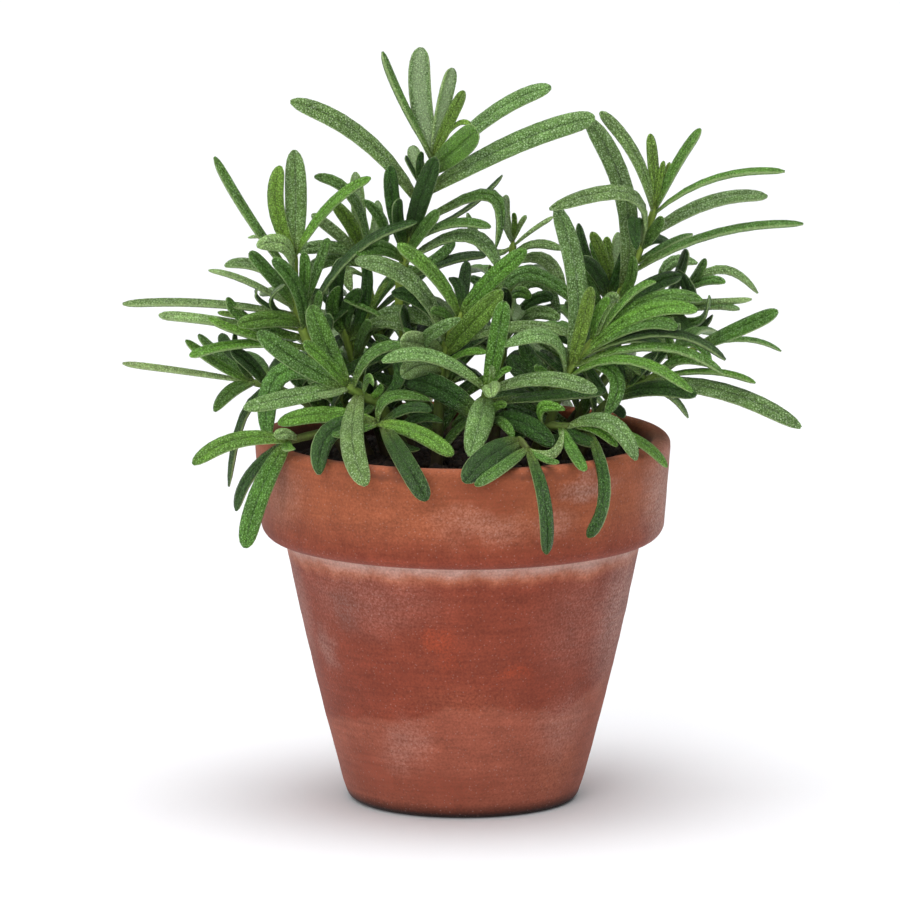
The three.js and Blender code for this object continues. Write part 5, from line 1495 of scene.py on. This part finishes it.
class ROSEMARY_OT_leaves(Operator):
    """Make the leaves of each shoot and the small ones inside the plant"""

    bl_idname = "rosemary.leaves"
    bl_label = "Leaves"

    def execute(self, context):
        foliage = context.scene.rosemary_foliage
        material = leaf_material(foliage)
        for name, shoot in SHOOTS.items():
            rows = shoot["leaves"] + rear_rows(name, shoot)
            if not rows:
                continue
            piece = leaves_object(f"shoot_{name}_leaves", leaf_table(shoot, rows), foliage)
            adopt(piece, material, leaf_nodes(name))
        inner = leaves_object("inner_leaves", inner_table(foliage), foliage, rings=7)
        adopt(inner, material)
        return {"FINISHED"}


def area_light(name, spot, target, side, watts):
    """A square white lamp at the spot, turned to the target."""
    data = bpy.data.lights.new(name, "AREA")
    data.size = side
    data.energy = watts
    lamp = bpy.data.objects.new(name, data)
    lamp.location = spot
    lamp.rotation_euler = (Vector(target) - Vector(spot)).to_track_quat("-Z", "Y").to_euler()
    bpy.context.scene.collection.objects.link(lamp)


WHITE = (1, 1, 1, 1)
BOX_TIGHTNESS = 12.0  # the higher, the smaller the box overhead


def tent_world(stage):
    """A light tent: dim at the level, brighter towards the top, a soft box straight overhead, and
    plain white as a backdrop."""
    world = bpy.data.worlds.new("light_tent")
    world.use_nodes = True
    tree = world.node_tree
    tree.nodes.clear()
    way = add(tree, "ShaderNodeTexCoord").outputs["Generated"]
    level = add(tree, "ShaderNodeSeparateXYZ", {"Vector": way}).outputs["Z"]
    up = add(tree, "ShaderNodeMath", {0: level, 1: 0.0}, operation="MAXIMUM").outputs[0]
    glow = spread(tree, up, 0.0, 1.0, stage.side_light, stage.top_light)
    box = add(tree, "ShaderNodeMath", {0: up, 1: BOX_TIGHTNESS}, operation="POWER").outputs[0]
    glow = times_plus(tree, box, stage.box_light, glow)
    tent = add(tree, "ShaderNodeBackground", {"Color": WHITE, "Strength": glow})
    backdrop = add(tree, "ShaderNodeBackground", {"Color": WHITE, "Strength": 1.0})
    direct = add(tree, "ShaderNodeLightPath").outputs["Is Camera Ray"]
    both = add(
        tree,
        "ShaderNodeMixShader",
        {0: direct, 1: tent.outputs[0], 2: backdrop.outputs[0]},
    )
    add(tree, "ShaderNodeOutputWorld", {"Surface": both.outputs[0]})
    return world


# Millimetres.
FLOOR_SIZE = 12000
SENSOR_WIDTH = 36
FOCAL_LENGTH = 331.2


class ROSEMARY_OT_stage(Operator):
    """Make the paper floor, the lights and the camera"""

    bl_idname = "rosemary.stage"
    bl_label = "Stage"

    def execute(self, context):
        scene = context.scene
        half = FLOOR_SIZE / 2
        corners = [(-half, -half, 0), (half, -half, 0), (half, half, 0), (-half, half, 0)]
        floor = mesh_object("paper_floor", corners, [(0, 1, 2, 3)], smooth=False)
        floor.data.materials.append(floor_material(scene.rosemary_stage))

        area_light("key", (-0.5, -1.35, 0.6), (0, 0, 0.08), 0.8, 8)
        scene.world = tent_world(scene.rosemary_stage)

        data = bpy.data.cameras.new("camera")
        data.sensor_width = SENSOR_WIDTH
        data.lens = FOCAL_LENGTH
        data.clip_start, data.clip_end = 0.1, 50
        camera = bpy.data.objects.new("camera", data)
        distance = SIGHT_DISTANCE * MM
        camera.location = (
            SIGHT_POINT[0] * MM,
            -distance * COS,
            SIGHT_POINT[2] * MM + distance * SIN,
        )
        camera.rotation_euler = Euler((math.pi / 2 - SIGHT_ANGLE, 0, 0))
        scene.collection.objects.link(camera)
        scene.camera = camera
        scene.view_settings.view_transform = "Standard"
        return {"FINISHED"}


class ROSEMARY_PT_panel(Panel):
    bl_idname = "ROSEMARY_PT_panel"
    bl_label = "Potted rosemary"
    bl_space_type = "VIEW_3D"
    bl_region_type = "UI"
    bl_category = "Rosemary"

    def draw(self, context):
        layout = self.layout
        for operator, group in PIECES:
            layout.operator(operator)
            if group:
                box = layout.box()
                values = getattr(context.scene, group)
                for prop in values.bl_rna.properties:
                    if not prop.is_readonly and prop.identifier != "name":
                        box.prop(values, prop.identifier)


PIECES = (
    ("rosemary.pot", "rosemary_pot"),
    ("rosemary.soil", "rosemary_soil"),
    ("rosemary.stems", ""),
    ("rosemary.leaves", "rosemary_foliage"),
    ("rosemary.stage", "rosemary_stage"),
)
GROUPS = {
    "rosemary_pot": RosemaryPotSettings,
    "rosemary_soil": RosemarySoilSettings,
    "rosemary_foliage": RosemaryFoliageSettings,
    "rosemary_stage": RosemaryStageSettings,
}
CLASSES = (
    *GROUPS.values(),
    ROSEMARY_OT_pot,
    ROSEMARY_OT_soil,
    ROSEMARY_OT_stems,
    ROSEMARY_OT_leaves,
    ROSEMARY_OT_stage,
    ROSEMARY_PT_panel,
)


def register():
    for made in CLASSES:
        bpy.utils.register_class(made)
    for name, group in GROUPS.items():
        setattr(bpy.types.Scene, name, PointerProperty(type=group))


def unregister():
    for name in GROUPS:
        delattr(bpy.types.Scene, name)
    for made in reversed(CLASSES):
        bpy.utils.unregister_class(made)


def main():
    register()
    bpy.ops.rosemary.pot()
    bpy.ops.rosemary.soil()
    bpy.ops.rosemary.stems()
    bpy.ops.rosemary.leaves()
    bpy.ops.rosemary.stage()


if __name__ == "__main__":
    main()
